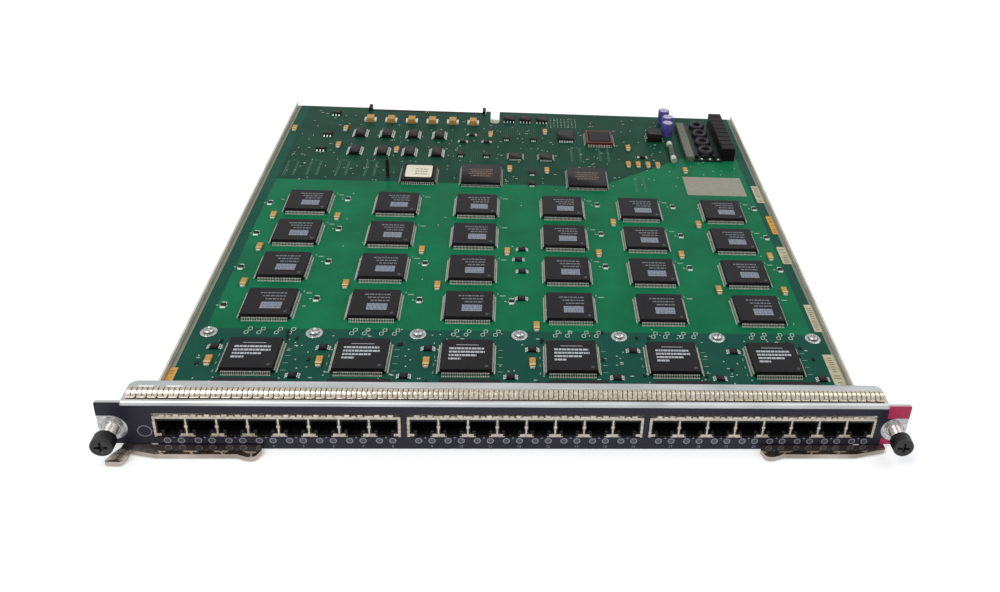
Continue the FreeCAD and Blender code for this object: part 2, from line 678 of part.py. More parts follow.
def contact_comb(x):
    """Sloping carrier of the eight contact springs, under the roof of a socket."""
    front = JACK_FRONT + SHIELD_SHEET + 1.2
    back = JACK_FRONT + SHIELD_SHEET + PORT_DEPTH
    roof = BOARD_TOP + PORT_FLOOR + PORT_HEIGHT
    half = (CONTACT_PITCH * (CONTACT_COUNT - 1) + CONTACT_WIDTH) / 2
    return bar_yz([(front, roof), (back, roof), (back, roof - CONTACT_DROP)], x - half, x + half)


def all_ports():
    """Middles of every port of the card."""
    return [px for x in BANKS.values() for px in port_places(x)]


def light_guides():
    """Clear bars in the panel's slots, and the round guide of the status light."""
    bars = [light_bar(x, PANEL_FRONT, BOARD_FRONT - RUNNING_GAP) for x in BANKS.values()]
    status = facets_back(status_place(), PANEL_FRONT, STATUS_HEIGHT, STATUS_RADIUS, PANEL_SHEET + BOARD_FRONT)
    return group(bars + [status])


def lights():
    """A twin light per port under the board's front edge, and the status light upright on the board."""
    solids = []
    low = LIGHT_HEIGHT - LIGHT_SLOT_HEIGHT / 2
    half = (LIGHT_SPACING + LIGHT_WIDTH) / 2
    for px in all_ports():
        solids.append(block(px - half, px + half, BOARD_FRONT, BOARD_FRONT + LIGHT_DEPTH, low, BOARD_HEIGHT))
    x = status_place()
    y = BOARD_FRONT + RUNNING_GAP
    solids.append(block(x - LIGHT_WIDTH, x + LIGHT_WIDTH, y, y + LIGHT_DEPTH, BOARD_TOP, STATUS_HEIGHT + LIGHT_WIDTH))
    return group(solids)


# ---- board and carrier ----

def screw_places():
    """The row of screws across the board: one per half cell."""
    return [(CELL_OFFSET + i * CELL_PITCH / 2, BOARD_SCREW_ROW) for i in range(-3, 4)]


def support_places():
    """Plain supports under the rest of the board."""
    rows = (FIRST_ROW + CHIP_ROW_PITCH / 2, FIRST_ROW + CHIP_ROW_PITCH * (CHIP_ROWS - 1.5), from_back(REAR_ZONE / 2))
    return [(across(share), y) for y in rows for share in (-95, -32, 32, 95)]


def circuit_board():
    """Board with its screw holes, the connector's recess and the round-ended notch in the back edge."""
    board = block(-BOARD_HALF, BOARD_HALF, BOARD_FRONT, BOARD_BACK, BOARD_HEIGHT, BOARD_TOP)
    deep = BOARD_THICKNESS + 2
    low = BOARD_HEIGHT - 1
    cuts = [facets(x, y, low, BOARD_SCREW_RADIUS, deep) for x, y in screw_places()]
    middle = across(CONNECTOR_MIDDLE)
    half = CONNECTOR_LENGTH / 2
    cuts.append(block(middle - half, middle + half, RECESS_Y, BOARD_BACK + 1, low, low + deep))
    notch_x = across(NOTCH_PLACE)
    notch_y = from_back(NOTCH_DEPTH) + NOTCH_WIDTH / 2
    straight = block(notch_x - NOTCH_WIDTH / 2, notch_x + NOTCH_WIDTH / 2, notch_y, BOARD_BACK + 1, low, low + deep)
    cuts.append(fused([straight, rod(notch_x, notch_y, low, NOTCH_WIDTH / 2, deep)]))
    return board.cut(group(cuts))


def carrier_tray():
    """Sheet tray: floor, two side walls, and a joggled lap that lies on the panel's bottom flange."""
    lap_half = LOWER_FLANGE_HALF - LAP_INSET
    lap_top = PANEL_SHEET + TRAY_SHEET
    lap_front = FLANGE_DEPTH - LAP_DEPTH
    step = TRAY_FRONT + TRAY_SHEET
    lap = bar_yz([
        (lap_front, PANEL_SHEET), (TRAY_FRONT, PANEL_SHEET), (TRAY_FRONT, 0), (step, 0),
        (step, lap_top), (lap_front, lap_top),
    ], -lap_half, lap_half)
    floor = block(-TRAY_HALF, TRAY_HALF, TRAY_FRONT, TRAY_BACK, 0, TRAY_SHEET)
    wall_top = BOARD_TOP + TRAY_WALL_ABOVE_BOARD
    wall = block(TRAY_HALF - TRAY_SHEET, TRAY_HALF, TRAY_FRONT, TRAY_BACK, 0, wall_top)
    return fused([floor, lap, wall, mirrored(wall)])


def standoffs():
    """Hexagonal posts between the tray and the board: bored under the screws, plain elsewhere."""
    height = BOARD_HEIGHT - TRAY_SHEET
    bored = []
    for x, y in screw_places():
        post = facets(x, y, TRAY_SHEET, STANDOFF_RADIUS, height, 6)
        bored.append(post.cut(facets(x, y, BOARD_HEIGHT - SCREW_BITE, BOARD_SCREW_RADIUS, height)))
    return group(bored + [facets(x, y, TRAY_SHEET, STANDOFF_RADIUS, height, 6) for x, y in support_places()])


def board_screws():
    """Pan-head screws through washer and board into the standoff."""
    seat = BOARD_TOP + WASHER_THICKNESS
    low = BOARD_HEIGHT - SCREW_BITE
    solids = []
    for x, y in screw_places():
        head = facets(x, y, seat, BOARD_SCREW_HEAD, BOARD_SCREW_HEAD_HEIGHT)
        solids.append(fused([head, facets(x, y, low, BOARD_SCREW_RADIUS, seat - low)]))
    return group(solids)


def washers():
    """One flat washer under each board screw."""
    solids = []
    for x, y in screw_places():
        disc = facets(x, y, BOARD_TOP, WASHER_RADIUS, WASHER_THICKNESS)
        solids.append(disc.cut(facets(x, y, BOARD_TOP - 1, BOARD_SCREW_RADIUS, WASHER_THICKNESS + 2)))
    return group(solids)


def backplane_connector():
    """Long receptacle under the board's back edge, slotted behind, with a post up each end of the recess."""
    middle = across(CONNECTOR_MIDDLE)
    half = CONNECTOR_LENGTH / 2 - CONNECTOR_CLEARANCE
    low = TRAY_SHEET + CONNECTOR_CLEARANCE
    back = BOARD_BACK + CONNECTOR_PROUD
    body = block(middle - half, middle + half, from_back(CONNECTOR_DEPTH), back, low, BOARD_HEIGHT)
    post_front = RECESS_Y + CONNECTOR_CLEARANCE
    top = BOARD_TOP + CONNECTOR_POST_RISE
    posts = []
    for x in (middle - half, middle + half - CONNECTOR_POST):
        posts.append(block(x, x + CONNECTOR_POST, post_front, back, BOARD_HEIGHT, top))
    height = (low + BOARD_HEIGHT) / 2
    inset = 3 * CONNECTOR_POST
    slot = block(middle - half + inset, middle + half - inset, back - CONNECTOR_SLOT_DEPTH, back + 1,
                 height - CONNECTOR_SLOT / 2, height + CONNECTOR_SLOT / 2)
    return fused([body] + posts).cut(slot)


def connector_pins():
    """Row of contact tails that come up through the board in front of the recess."""
    start = across(CONNECTOR_MIDDLE) - PIN_COUNT * PIN_PITCH / 2
    back = RECESS_Y - CONNECTOR_CLEARANCE
    front = back - PIN_DEPTH
    rail = block(start, start + PIN_COUNT * PIN_PITCH, front, back, BOARD_TOP, BOARD_TOP + PIN_RISE / 2)
    margin = (PIN_PITCH - PIN_WIDTH) / 2
    pins = []
    for i in range(PIN_COUNT):
        x = start + PIN_PITCH * i + margin
        pins.append(block(x, x + PIN_WIDTH, front, back, BOARD_TOP, BOARD_TOP + PIN_RISE))
    return fused([rail] + pins)


# ---- chips ----

def columns(spread):
    """X of the six chips of a row: three cells with two chips each."""
    return [CELL_OFFSET + cell * CELL_PITCH + side * spread / 2 for cell in (-1, 0, 1) for side in (-1, 1)]


def row_place(row):
    """Y of a row of large chips, counted from the front."""
    return FIRST_ROW + CHIP_ROW_PITCH * row


def large_chip(x, y, body):
    """Body of a large chip, chamfered at the pin-one corner."""
    half = body / 2
    return plate_xy([
        (x - half, y - half, 0), (x + half - 1.2, y - half, 0), (x + half, y - half + 1.2, 0),
        (x + half, y + half, 0), (x - half, y + half, 0),
    ], BOARD_TOP + CHIP_FLOAT, BOARD_TOP + CHIP_HEIGHT)


def lead_frame(x, y, body):
    """The leads of a large chip as one sloping skirt that runs round its body down to the board."""
    thick = CHIP_LEAD_THICKNESS
    middle = CHIP_HEIGHT / 2
    half = body / 2
    foot = half + CHIP_LEAD
    outer = frustum(foot, half, middle)
    inner = frustum(foot - 2 * thick, half - 2 * thick, middle)
    skirt = outer.cut(inner).cut(block(-half, half, -half, half, 0, middle + 1))
    skirt.translate(FreeCAD.Vector(x, y, BOARD_TOP))
    return skirt


def frustum(low_half, high_half, height):
    """Square frustum about the Z axis, standing on z = 0."""
    wedge = Part.makeWedge(
        -low_half, 0, -low_half, -high_half, -high_half, low_half, height, low_half, high_half, high_half)
    wedge.rotate(FreeCAD.Vector(0, 0, 0), X_AXIS, 90)
    return wedge


def chip_row(row):
    """Six large chips of one row."""
    return group([large_chip(x, row_place(row), CHIP_BODY) for x in columns(CHIP_SPREAD)])


def front_chips():
    """Six chips behind the port magnetics."""
    return group([large_chip(x, FRONT_CHIP_ROW, FRONT_CHIP_BODY) for x in columns(FRONT_CHIP_SPREAD)])


def chip_leads():
    """Lead frames of every large chip."""
    solids = []
    for row in range(CHIP_ROWS):
        for x in columns(CHIP_SPREAD):
            solids.append(lead_frame(x, row_place(row), CHIP_BODY))
    for x in columns(FRONT_CHIP_SPREAD):
        solids.append(lead_frame(x, FRONT_CHIP_ROW, FRONT_CHIP_BODY))
    return group(solids)


def magnetics():
    """Transformer modules between the jacks and the front chips."""
    size = (MAGNETIC_WIDTH, MAGNETIC_DEPTH, MAGNETIC_HEIGHT)
    return group([seated(x + MAGNETIC_SHIFT, MAGNETIC_ROW, size) for x in columns(FRONT_CHIP_SPREAD)])


def marked(pattern):
    """Rows and columns where a pattern of dots and crosses has a cross."""
    return [(row, column) for row, line in enumerate(pattern) for column, c in enumerate(line) if c == "x"]


def chip_capacitors():
    """Capacitors beside the large chips and beside the first four front chips."""
    places = []
    xs = columns(CHIP_SPREAD)
    half = CHIP_BODY / 2
    for row, column in marked(CAPACITOR_LEFT):
        places.append((xs[column] - half - SIDE_PART_LEFT, row_place(row) - half - SIDE_PART_FORWARD))
    for row, column in marked(CAPACITOR_RIGHT):
        places.append((xs[column] + half + SIDE_PART_RIGHT, row_place(row) - half - SIDE_PART_FORWARD))
    out = FRONT_CHIP_BODY / 2 + FRONT_PART_OUT
    for x in columns(FRONT_CHIP_SPREAD)[:4]:
        places.append((x - out, FRONT_CHIP_ROW - FRONT_CAPACITOR_FORWARD))
    return group([seated(x, y, CAPACITOR) for x, y in places])


def two_pad_parts():
    """Small two-ended parts beside the large chips."""
    xs = columns(CHIP_SPREAD)
    half = CHIP_BODY / 2
    places = [(xs[column] + half + TWO_PAD_OUT, row_place(row) + TWO_PAD_BACK) for row, column in marked(TWO_PAD_RIGHT)]
    places += [(xs[0] - half - EDGE_PART_OUT, row_place(row)) for row in range(CHIP_ROWS)]
    return group([seated(x, y, TWO_PAD) for x, y in places])


def small_circuits():
    """Small packages round the front chips, down the middle and in the rear zone."""
    places = []
    half = FRONT_CHIP_BODY / 2
    for x in columns(FRONT_CHIP_SPREAD):
        places.append((x - half - FRONT_PART_OUT, FRONT_CHIP_ROW + FRONT_PART_BACK))
        places.append((x + half + FRONT_PART_BESIDE, FRONT_CHIP_ROW - FRONT_PART_FORWARD))
    places += [(CELL_OFFSET + dx, FIRST_ROW + dy) for dx, dy in MIDDLE_CIRCUITS]
    places += [(across(share), from_back(distance)) for share, distance in REAR_CIRCUITS]
    return group([seated(x, y, SMALL_CIRCUIT) for x, y in places])


# ---- rear zone ----

def spread(places, size):
    """Like boxes at places given as (share, distance from the back)."""
    return group([seated(across(share), from_back(distance), size) for share, distance in places])


def row(start, distance, step, count):
    """Places of an even row across the board."""
    return [(start + step * i, distance) for i in range(count)]


def rear_capacitors():
    """Scattered capacitors and the short row of four."""
    start, distance, step, count = CAPACITOR_ROW
    scattered = spread(REAR_CAPACITORS, CAPACITOR)
    return group(scattered.Solids + spread(row(start, distance, step, count), SMALL_CAPACITOR).Solids)


def connector_capacitors():
    """Six larger capacitors in front of the backplane connector."""
    start, distance, step, count = CONNECTOR_CAPACITOR_ROW
    return spread(row(start, distance, step, count), CONNECTOR_CAPACITOR)


def driver_chips():
    """Two rows of four driver chips."""
    start, distances, step, count = DRIVER_ROWS
    return spread([place for distance in distances for place in row(start, distance, step, count)], DRIVER_CHIP)


def small_outline_chips():
    """Small packages with leads on two sides, and one wide one."""
    return group(spread(SMALL_OUTLINES, SMALL_OUTLINE).Solids + spread([WIDE_CHIP_PLACE], WIDE_CHIP).Solids)


def power_transistors():
    """Three power packages at the back edge."""
    start, distance, step, count = TRANSISTOR_ROW
    return spread(row(start, distance, step, count), TRANSISTOR)


def socket_pair():
    """Places and sizes of the two chip sockets."""
    return [(SOCKET_PLACE, SOCKET), (LABELLED_SOCKET_PLACE, LABELLED_SOCKET)]


def chip_sockets():
    """Two square sockets, open in the middle for their chips."""
    solids = []
    for place, (width, depth, height) in socket_pair():
        outer = spread([place], (width, depth, height))
        room = spread([place], (width - 2 * SOCKET_WALL, depth - 2 * SOCKET_WALL, height + 1)).Solids[0]
        room.translate(Z_AXIS * 1.0)
        solids.append(outer.Solids[0].cut(room))
    return group(solids)


def socketed_chips():
    """The chips in the two sockets, standing a little above the socket wall."""
    solids = []
    gap = 0.2
    for (share, distance), (width, depth, height) in socket_pair():
        w = width - 2 * SOCKET_WALL - 2 * gap
        d = depth - 2 * SOCKET_WALL - 2 * gap
        solids.append(seated(across(share), from_back(distance), (w, d, height + 0.4), 1.0))
    return group(solids)


def controllers():
    """The two large and two small square controllers with their bodies just off the board."""
    return group(spread(CONTROLLERS, CONTROLLER).Solids + spread(SMALL_CONTROLLERS, SMALL_CONTROLLER).Solids)


def capacitor_cans():
    """Two upright electrolytic cans."""
    return group([facets(across(s), from_back(d), BOARD_TOP, CAN_RADIUS, CAN_HEIGHT, 24) for s, d in CAN_PLACES])


def fuse():
    """Round fuse on its side along Y, resting on the board."""
    share, distance = FUSE_PLACE
    tube = facets(0, 0, 0, FUSE_RADIUS, FUSE_LENGTH)
    tube.rotate(FreeCAD.Vector(0, 0, 0), X_AXIS, -90)
    lift = FUSE_RADIUS * math.cos(math.pi / 12)
    tube.translate(FreeCAD.Vector(across(share), from_back(distance) - FUSE_LENGTH / 2, BOARD_TOP + lift))
    return tube


def test_post():
    """Upright post with a square foot."""
    share, distance = POST_PLACE
    x = across(share)
    y = from_back(distance)
    foot = seated(x, y, (3 * POST_RADIUS, 3 * POST_RADIUS, 1.5))
    return fused([foot, facets(x, y, BOARD_TOP, POST_RADIUS, POST_HEIGHT, 8)])


def converter_places():
    """Middle X, front Y and left X of the converter's footprint."""
    share, distance = CONVERTER_PLACE
    return across(share), from_back(distance) - CONVERTER_DEPTH / 2, across(share) - CONVERTER_WIDTH / 2


def converter_strip():
    """Low terminal strip along the left side of the converter."""
    middle, front, left = converter_places()
    start = front + (CONVERTER_DEPTH - CONVERTER_STRIP_LENGTH) / 2 - CONVERTER_STRIP_SHIFT
    top = BOARD_TOP + CONVERTER_STRIP_HEIGHT
    return block(left, left + CONVERTER_STRIP, start, start + CONVERTER_STRIP_LENGTH, BOARD_TOP, top)


def converter_block():
    """Tall block along the right side of the converter."""
    middle, front, left = converter_places()
    right = left + CONVERTER_WIDTH
    top = BOARD_TOP + CONVERTER_BLOCK_HEIGHT
    return block(right - CONVERTER_BLOCK, right, front, front + CONVERTER_DEPTH, BOARD_TOP, top)


def converter_coils():
    """Flat ring coils between strip and block."""
    middle, front, left = converter_places()
    x = (left + CONVERTER_STRIP + left + CONVERTER_WIDTH - CONVERTER_BLOCK) / 2
    first = front + CONVERTER_DEPTH / 2 - COIL_PITCH * (COIL_COUNT - 1) / 2
    coils = []
    for i in range(COIL_COUNT):
        y = first + COIL_PITCH * i
        ring = facets(x, y, BOARD_TOP, COIL_RADIUS, COIL_HEIGHT, 16)
        coils.append(ring.cut(facets(x, y, BOARD_TOP - 1, COIL_BORE, COIL_HEIGHT + 2, 8)))
    return group(coils)


def plain_labels():
    """Plain strips along the edges and the bare pad in front of the converter."""
    thin = LABEL_THICKNESS
    solids = []
    for distance, length, width in EDGE_LABELS:
        solids.append(seated(BOARD_HALF - LABEL_MARGIN - width / 2, from_back(distance), (width, length, thin)))
    width, length = CORNER_LABEL
    solids.append(seated(-BOARD_HALF + width / 2, MAGNETIC_ROW + MAGNETIC_DEPTH / 2 + length / 2, (width, length, thin)))
    share, distance, width, length = BARE_PAD
    solids.append(seated(across(share), from_back(distance), (width, length, thin)))
    return group(solids)


def build():
    """Every node of the card."""
    blank = film()
    zones = accent_zones()
    parts = {
        "front_panel": front_panel(),
        "panel_overlay": blank.cut(zones),
        "overlay_accent": group(blank.common(zones).Solids),
        "emi_gasket": gasket(),
        "carrier_tray": carrier_tray(),
        "circuit_board": circuit_board(),
        "jack_contacts": group([contact_comb(px) for px in all_ports()]),
        "light_guides": light_guides(),
        "lights": lights(),
        "magnetics": magnetics(),
        "front_chips": front_chips(),
        "chip_leads": chip_leads(),
        "chip_capacitors": chip_capacitors(),
        "rear_capacitors": rear_capacitors(),
        "connector_capacitors": connector_capacitors(),
        "two_pad_parts": two_pad_parts(),
        "small_circuits": small_circuits(),
        "driver_chips": driver_chips(),
        "small_outline_chips": small_outline_chips(),
        "power_transistors": power_transistors(),
        "chip_sockets": chip_sockets(),
        "socketed_chips": socketed_chips(),
        "controllers": controllers(),
        "backplane_connector": backplane_connector(),
        "connector_pins": connector_pins(),
        "capacitor_cans": capacitor_cans(),
        "inductor": spread([INDUCTOR_PLACE], INDUCTOR),
        "fuse": fuse(),
        "test_post": test_post(),
        "converter_strip": converter_strip(),
        "converter_coils": converter_coils(),
        "converter_block": converter_block(),
        "board_screws": board_screws(),
        "screw_washers": washers(),
        "standoffs": standoffs(),
        "plain_labels": plain_labels(),
        "screw_bushes": pair(screw_bush()),
        "lever_brackets": pair(lever_bracket()),
        "lever_rivets": pair(lever_rivet()),
        "thumbscrew_right": thumbscrew(),
        "thumbscrew_left": mirrored(thumbscrew()),
        "retaining_ring_right": retaining_ring(),
        "retaining_ring_left": mirrored(retaining_ring()),
        "ejector_lever_right": ejector_lever(False),
        "ejector_lever_left": mirrored(ejector_lever(True)),
    }
    for name, x in BANKS.items():
        parts["jack_shield_" + name] = jack_shield(x)
        parts["jack_housing_" + name] = jack_housing(x)
    for number in range(CHIP_ROWS):
        parts["chip_row_" + str(number + 1)] = chip_row(number)
    return parts


os.makedirs("parts", exist_ok=True)
for node, shape in build().items():
    shape.exportStep("parts/" + node + ".step")
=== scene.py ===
import math

import bpy
import numpy as np
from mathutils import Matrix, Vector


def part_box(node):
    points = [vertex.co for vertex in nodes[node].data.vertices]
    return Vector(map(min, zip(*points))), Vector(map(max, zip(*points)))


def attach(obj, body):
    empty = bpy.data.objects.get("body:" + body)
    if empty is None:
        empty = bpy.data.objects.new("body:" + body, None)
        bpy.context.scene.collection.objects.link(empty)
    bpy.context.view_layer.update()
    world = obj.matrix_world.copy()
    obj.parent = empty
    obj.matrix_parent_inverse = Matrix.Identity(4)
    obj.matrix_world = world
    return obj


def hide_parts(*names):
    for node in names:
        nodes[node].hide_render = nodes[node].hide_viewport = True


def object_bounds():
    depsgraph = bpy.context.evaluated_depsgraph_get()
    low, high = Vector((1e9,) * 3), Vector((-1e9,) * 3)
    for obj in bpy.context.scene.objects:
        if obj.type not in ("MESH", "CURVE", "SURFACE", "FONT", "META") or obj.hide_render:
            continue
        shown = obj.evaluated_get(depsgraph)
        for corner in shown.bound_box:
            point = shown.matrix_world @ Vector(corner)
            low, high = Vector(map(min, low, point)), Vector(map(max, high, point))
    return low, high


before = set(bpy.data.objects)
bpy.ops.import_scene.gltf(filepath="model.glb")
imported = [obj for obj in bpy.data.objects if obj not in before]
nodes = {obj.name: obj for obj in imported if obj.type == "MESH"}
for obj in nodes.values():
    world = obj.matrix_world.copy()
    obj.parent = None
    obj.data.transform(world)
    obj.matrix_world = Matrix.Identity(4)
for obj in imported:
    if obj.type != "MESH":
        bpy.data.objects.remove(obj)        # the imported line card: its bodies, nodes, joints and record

cad_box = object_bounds()
scene = bpy.context.scene
scene.view_settings.view_transform = "Standard"
MM = 0.001
SIDES = ("left", "right")
BANKS = ("left", "centre", "right")

# ---- Camera ----
# The view is from above the front edge, a little to the left of the card's middle and slightly
# tipped. The card's long front nearly fills the width.
camera_data = bpy.data.cameras.new("camera")
camera_data.sensor_width = 36.0
camera_data.lens = 35.39
camera_data.shift_x = -0.0994
camera_data.shift_y = -0.1230
camera = bpy.data.objects.new("camera", camera_data)
camera.location = (-0.0092, -0.3651, 0.3420)
camera.rotation_euler = [math.radians(angle) for angle in (62.544, -3.911, -4.102)]
scene.collection.objects.link(camera)
scene.camera = camera


# ---- Studio: floor, backdrop and lamps ----
# A white sweep under a broad soft light. The floor keeps the card's shadow. Its own whiteness
# comes from its colour and a little glow seen by the camera and by gloss only.
def hue(code):
    """Linear colour of an sRGB hex code: each channel is divided by 255 and the sRGB curve undone."""
    parts = [int(code[i:i + 2], 16) / 255 for i in (1, 3, 5)]
    return [c / 12.92 if c <= 0.04045 else ((c + 0.055) / 1.055) ** 2.4 for c in parts] + [1.0]


def add(material, kind, wires=None, **settings):
    """One more shader node: settings are its options, wires give each input a value or an output."""
    node = material.node_tree.nodes.new("ShaderNode" + kind)
    for key, value in settings.items():
        setattr(node, key, value)
    for key, value in (wires or {}).items():
        if isinstance(value, bpy.types.NodeSocket):
            material.node_tree.links.new(value, node.inputs[key])
        else:
            node.inputs[key].default_value = value
    return node


def seen_directly(tree_owner):
    """1 for rays from the camera, from gloss and through clear parts, 0 for all other rays."""
    path = add(tree_owner, "LightPath")
    gloss = add(tree_owner, "Math", {0: path.outputs["Is Camera Ray"], 1: path.outputs["Is Glossy Ray"]},
                operation="MAXIMUM")
    clear = add(tree_owner, "Math", {0: gloss.outputs[0], 1: path.outputs["Is Transmission Ray"]},
                operation="MAXIMUM")
    return clear.outputs[0]


world = bpy.data.worlds.new("white room")
world.use_nodes = True
world.node_tree.nodes.clear()
room_light = add(world, "Background", {"Color": hue("#f4f6fa"), "Strength": 0.62})
room_seen = add(world, "Background", {"Color": hue("#ffffff"), "Strength": 1.0})
room = add(world, "MixShader", {0: seen_directly(world), 1: room_light.outputs[0], 2: room_seen.outputs[0]})
add(world, "OutputWorld", {"Surface": room.outputs[0]})
scene.world = world

paper = bpy.data.materials.new("matt white paper sweep")
paper.use_nodes = True
paper.node_tree.nodes.clear()
paper_place = add(paper, "TexCoord")
paper_cloud = add(paper, "TexNoise", {"Vector": paper_place.outputs["Object"], "Scale": 2.0})
paper_shade = add(paper, "Mix", {0: paper_cloud.outputs[0], 6: hue("#eeeeee"), 7: hue("#f3f3f3")},
                  data_type="RGBA")
paper_body = add(paper, "BsdfDiffuse", {"Color": paper_shade.outputs[2]})
paper_glow = add(paper, "Emission", {"Color": hue("#ffffff"), "Strength": 0.30})
paper_both = add(paper, "AddShader", {0: paper_body.outputs[0], 1: paper_glow.outputs[0]})
paper_mix = add(paper, "MixShader",
                {0: seen_directly(paper), 1: paper_body.outputs[0], 2: paper_both.outputs[0]})
add(paper, "OutputMaterial", {"Surface": paper_mix.outputs[0]})

FLOOR_HALF = 4.0
floor_mesh = bpy.data.meshes.new("floor")
floor_level = cad_box[0].z - 0.0002
floor_corners = [(x, y, floor_level) for x, y in ((-FLOOR_HALF, -FLOOR_HALF), (FLOOR_HALF, -FLOOR_HALF),
                                                  (FLOOR_HALF, FLOOR_HALF), (-FLOOR_HALF, FLOOR_HALF))]
floor_mesh.from_pydata(floor_corners, [], [(0, 1, 2, 3)])
floor_mesh.materials.append(paper)
floor = bpy.data.objects.new("floor", floor_mesh)
scene.collection.objects.link(floor)

# (name, place, size across, watts): each lamp faces the middle of the board
for lamp_name, place, size, watts in (
    ("key", (-0.7, -0.5, 1.5), 0.9, 11.0),
    ("fill", (0.9, 0.2, 1.3), 1.2, 5.0),
):
    lamp_data = bpy.data.lights.new(lamp_name, "AREA")
    lamp_data.shape = "DISK"
    lamp_data.size = size
    lamp_data.energy = watts
    lamp = bpy.data.objects.new(lamp_name, lamp_data)
    lamp.location = place
    aim = camera.location.copy()
    aim.xyz = (-place[0], 0.19 - place[1], -place[2])
    lamp.rotation_euler = aim.to_track_quat("-Z", "Y").to_euler()
    scene.collection.objects.link(lamp)


# ---- Front panel ----
# One sheet of zinc-plated steel folded into a channel: front, narrow bottom flange and deep top
# flange. The plating is soft grey with faint large spangles and a fine brushed grain.
def surface(name, dark, pale, rough, grain, metallic=0.0, ior=1.5, bump=0.0, stretch=(1, 1, 1)):
    """Finish whose colour wanders from dark to pale and whose roughness wanders between two values.

    Both follow noise with grains of a size in millimetres, drawn out by stretch, and bump gives
    the same noise a height in millimetres.
    """
    material = bpy.data.materials.new(name)
    material.use_nodes = True
    material.node_tree.nodes.clear()
    place = add(material, "TexCoord")
    drawn = add(material, "Mapping", {"Vector": place.outputs["Object"], "Scale": stretch})
    cloud = add(material, "TexNoise", {"Vector": drawn.outputs[0], "Scale": 1 / (grain * MM), "Detail": 3.0})
    spread = add(material, "MapRange", {"Value": cloud.outputs[0], "From Min": 0.3, "From Max": 0.7})
    shade = add(material, "Mix", {0: spread.outputs[0], 6: hue(dark), 7: hue(pale)}, data_type="RGBA")
    gloss = add(material, "MapRange", {"Value": cloud.outputs[0], "From Min": 0.3, "From Max": 0.7,
                                       "To Min": rough[0], "To Max": rough[1]})
    shader = add(material, "BsdfPrincipled", {"Base Color": shade.outputs[2], "Roughness": gloss.outputs[0],
                                              "Metallic": metallic, "IOR": ior})
    if bump:
        relief = add(material, "Bump", {"Height": cloud.outputs[0], "Distance": bump * MM})
        material.node_tree.links.new(relief.outputs[0], shader.inputs["Normal"])
    add(material, "OutputMaterial", {"Surface": shader.outputs[0]})
    return material


def coat(node_name, material):
    """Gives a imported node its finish, on every material slot it has."""
    slots = nodes[node_name].data.materials
    slots.clear()
    slots.append(material)


zinc = surface("zinc-plated steel sheet", "#a9abac", "#c6c8c9", (0.34, 0.5), 9.0, metallic=0.85,
               bump=0.004, stretch=(0.25, 1, 1))
coat("front_panel", zinc)


# ---- Printed film over the panel ----
# A thin polyester film, near black with a blue cast, printed from behind and slightly pebbled.
# The two zones at its right end are printed crimson.
film = surface("pebbled polyester film, near black", "#1c1a27", "#252331", (0.36, 0.46), 0.5, ior=1.3,
               bump=0.006)
crimson = surface("polyester film printed crimson", "#b02852", "#c0325d", (0.36, 0.46), 0.5, ior=1.3,
                  bump=0.006)
coat("panel_overlay", film)
coat("overlay_accent", crimson)

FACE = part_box("panel_overlay")[0].y
FILM = 0.3 * MM                     # the film lies on the steel, so steel parts start this far behind
PORT_PITCH = 13.97 * MM
PORTS_PER_BANK = 8


def bank_middles():
    """Middle of each bank of ports along the panel, from the boxes of the three jack housings."""
    boxes = [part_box("jack_housing_" + side) for side in BANKS]
    return np.array([(low.x + high.x) / 2 for low, high in boxes])


def row(count, pitch):
    """Steps of a row, centred on 0."""
    return pitch * (np.arange(count) - (count - 1) / 2)


# middles of all ports from left to right
ports = (bank_middles()[:, None] + row(PORTS_PER_BANK, PORT_PITCH)).ravel()

UP = np.eye(3)
FORWARD = np.array([[1.0, 0, 0], [0, 0, 1], [0, -1, 0]])
BACKWARD = np.array([[-1.0, 0, 0], [0, 0, 1], [0, 1, 0]])
ALONG = np.array([[0, 1.0, 0], [0, 0, 1], [1, 0, 0]])


def skin(name, grid, material, smooth=True, loop=False):
    """Closed skins over rings of points, grid[copy, ring, point].

    Quads join each ring to the next, point by point. A flat face closes the first and the last
    ring, or with loop the last ring joins the first, as on a torus.
    """
    grid = np.asarray(grid)
    copies, rings, points = grid.shape[:3]
    index = np.arange(copies * rings * points).reshape(copies, rings, points)
    here = np.concatenate([index, index[:, :1]], axis=1) if loop else index
    after = np.roll(here, -1, axis=2)
    sides = np.stack([here[:, :-1], after[:, :-1], after[:, 1:], here[:, 1:]], axis=-1).reshape(-1, 4)
    ends = index[:0, 0] if loop else np.concatenate([index[:, 0, ::-1], index[:, -1]])
    mesh = bpy.data.meshes.new(name)
    mesh.from_pydata(grid.reshape(-1, 3).tolist(), [], sides.tolist() + ends.tolist())
    mesh.materials.append(material)
    if smooth:
        mesh.polygons.foreach_set("use_smooth", np.ones(len(mesh.polygons), bool))
        mesh.set_sharp_from_angle(angle=math.radians(35))
    mesh.update()
    piece = bpy.data.objects.new(name, mesh)
    scene.collection.objects.link(piece)
    return piece


def mm(*rows):
    """Rows of millimetres as an array in metres."""
    return np.array(rows) * MM


def fit(piece, slot, *replaced, body="card"):
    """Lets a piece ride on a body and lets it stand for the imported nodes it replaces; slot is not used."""
    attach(piece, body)
    if replaced:
        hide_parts(*replaced)


def show(name, grid, material, slot, *replaced, body="card", **look):
    """A skin that rides on a body; smooth and loop are passed on to skin."""
    fit(skin(name, grid, material, **look), slot, *replaced, body=body)


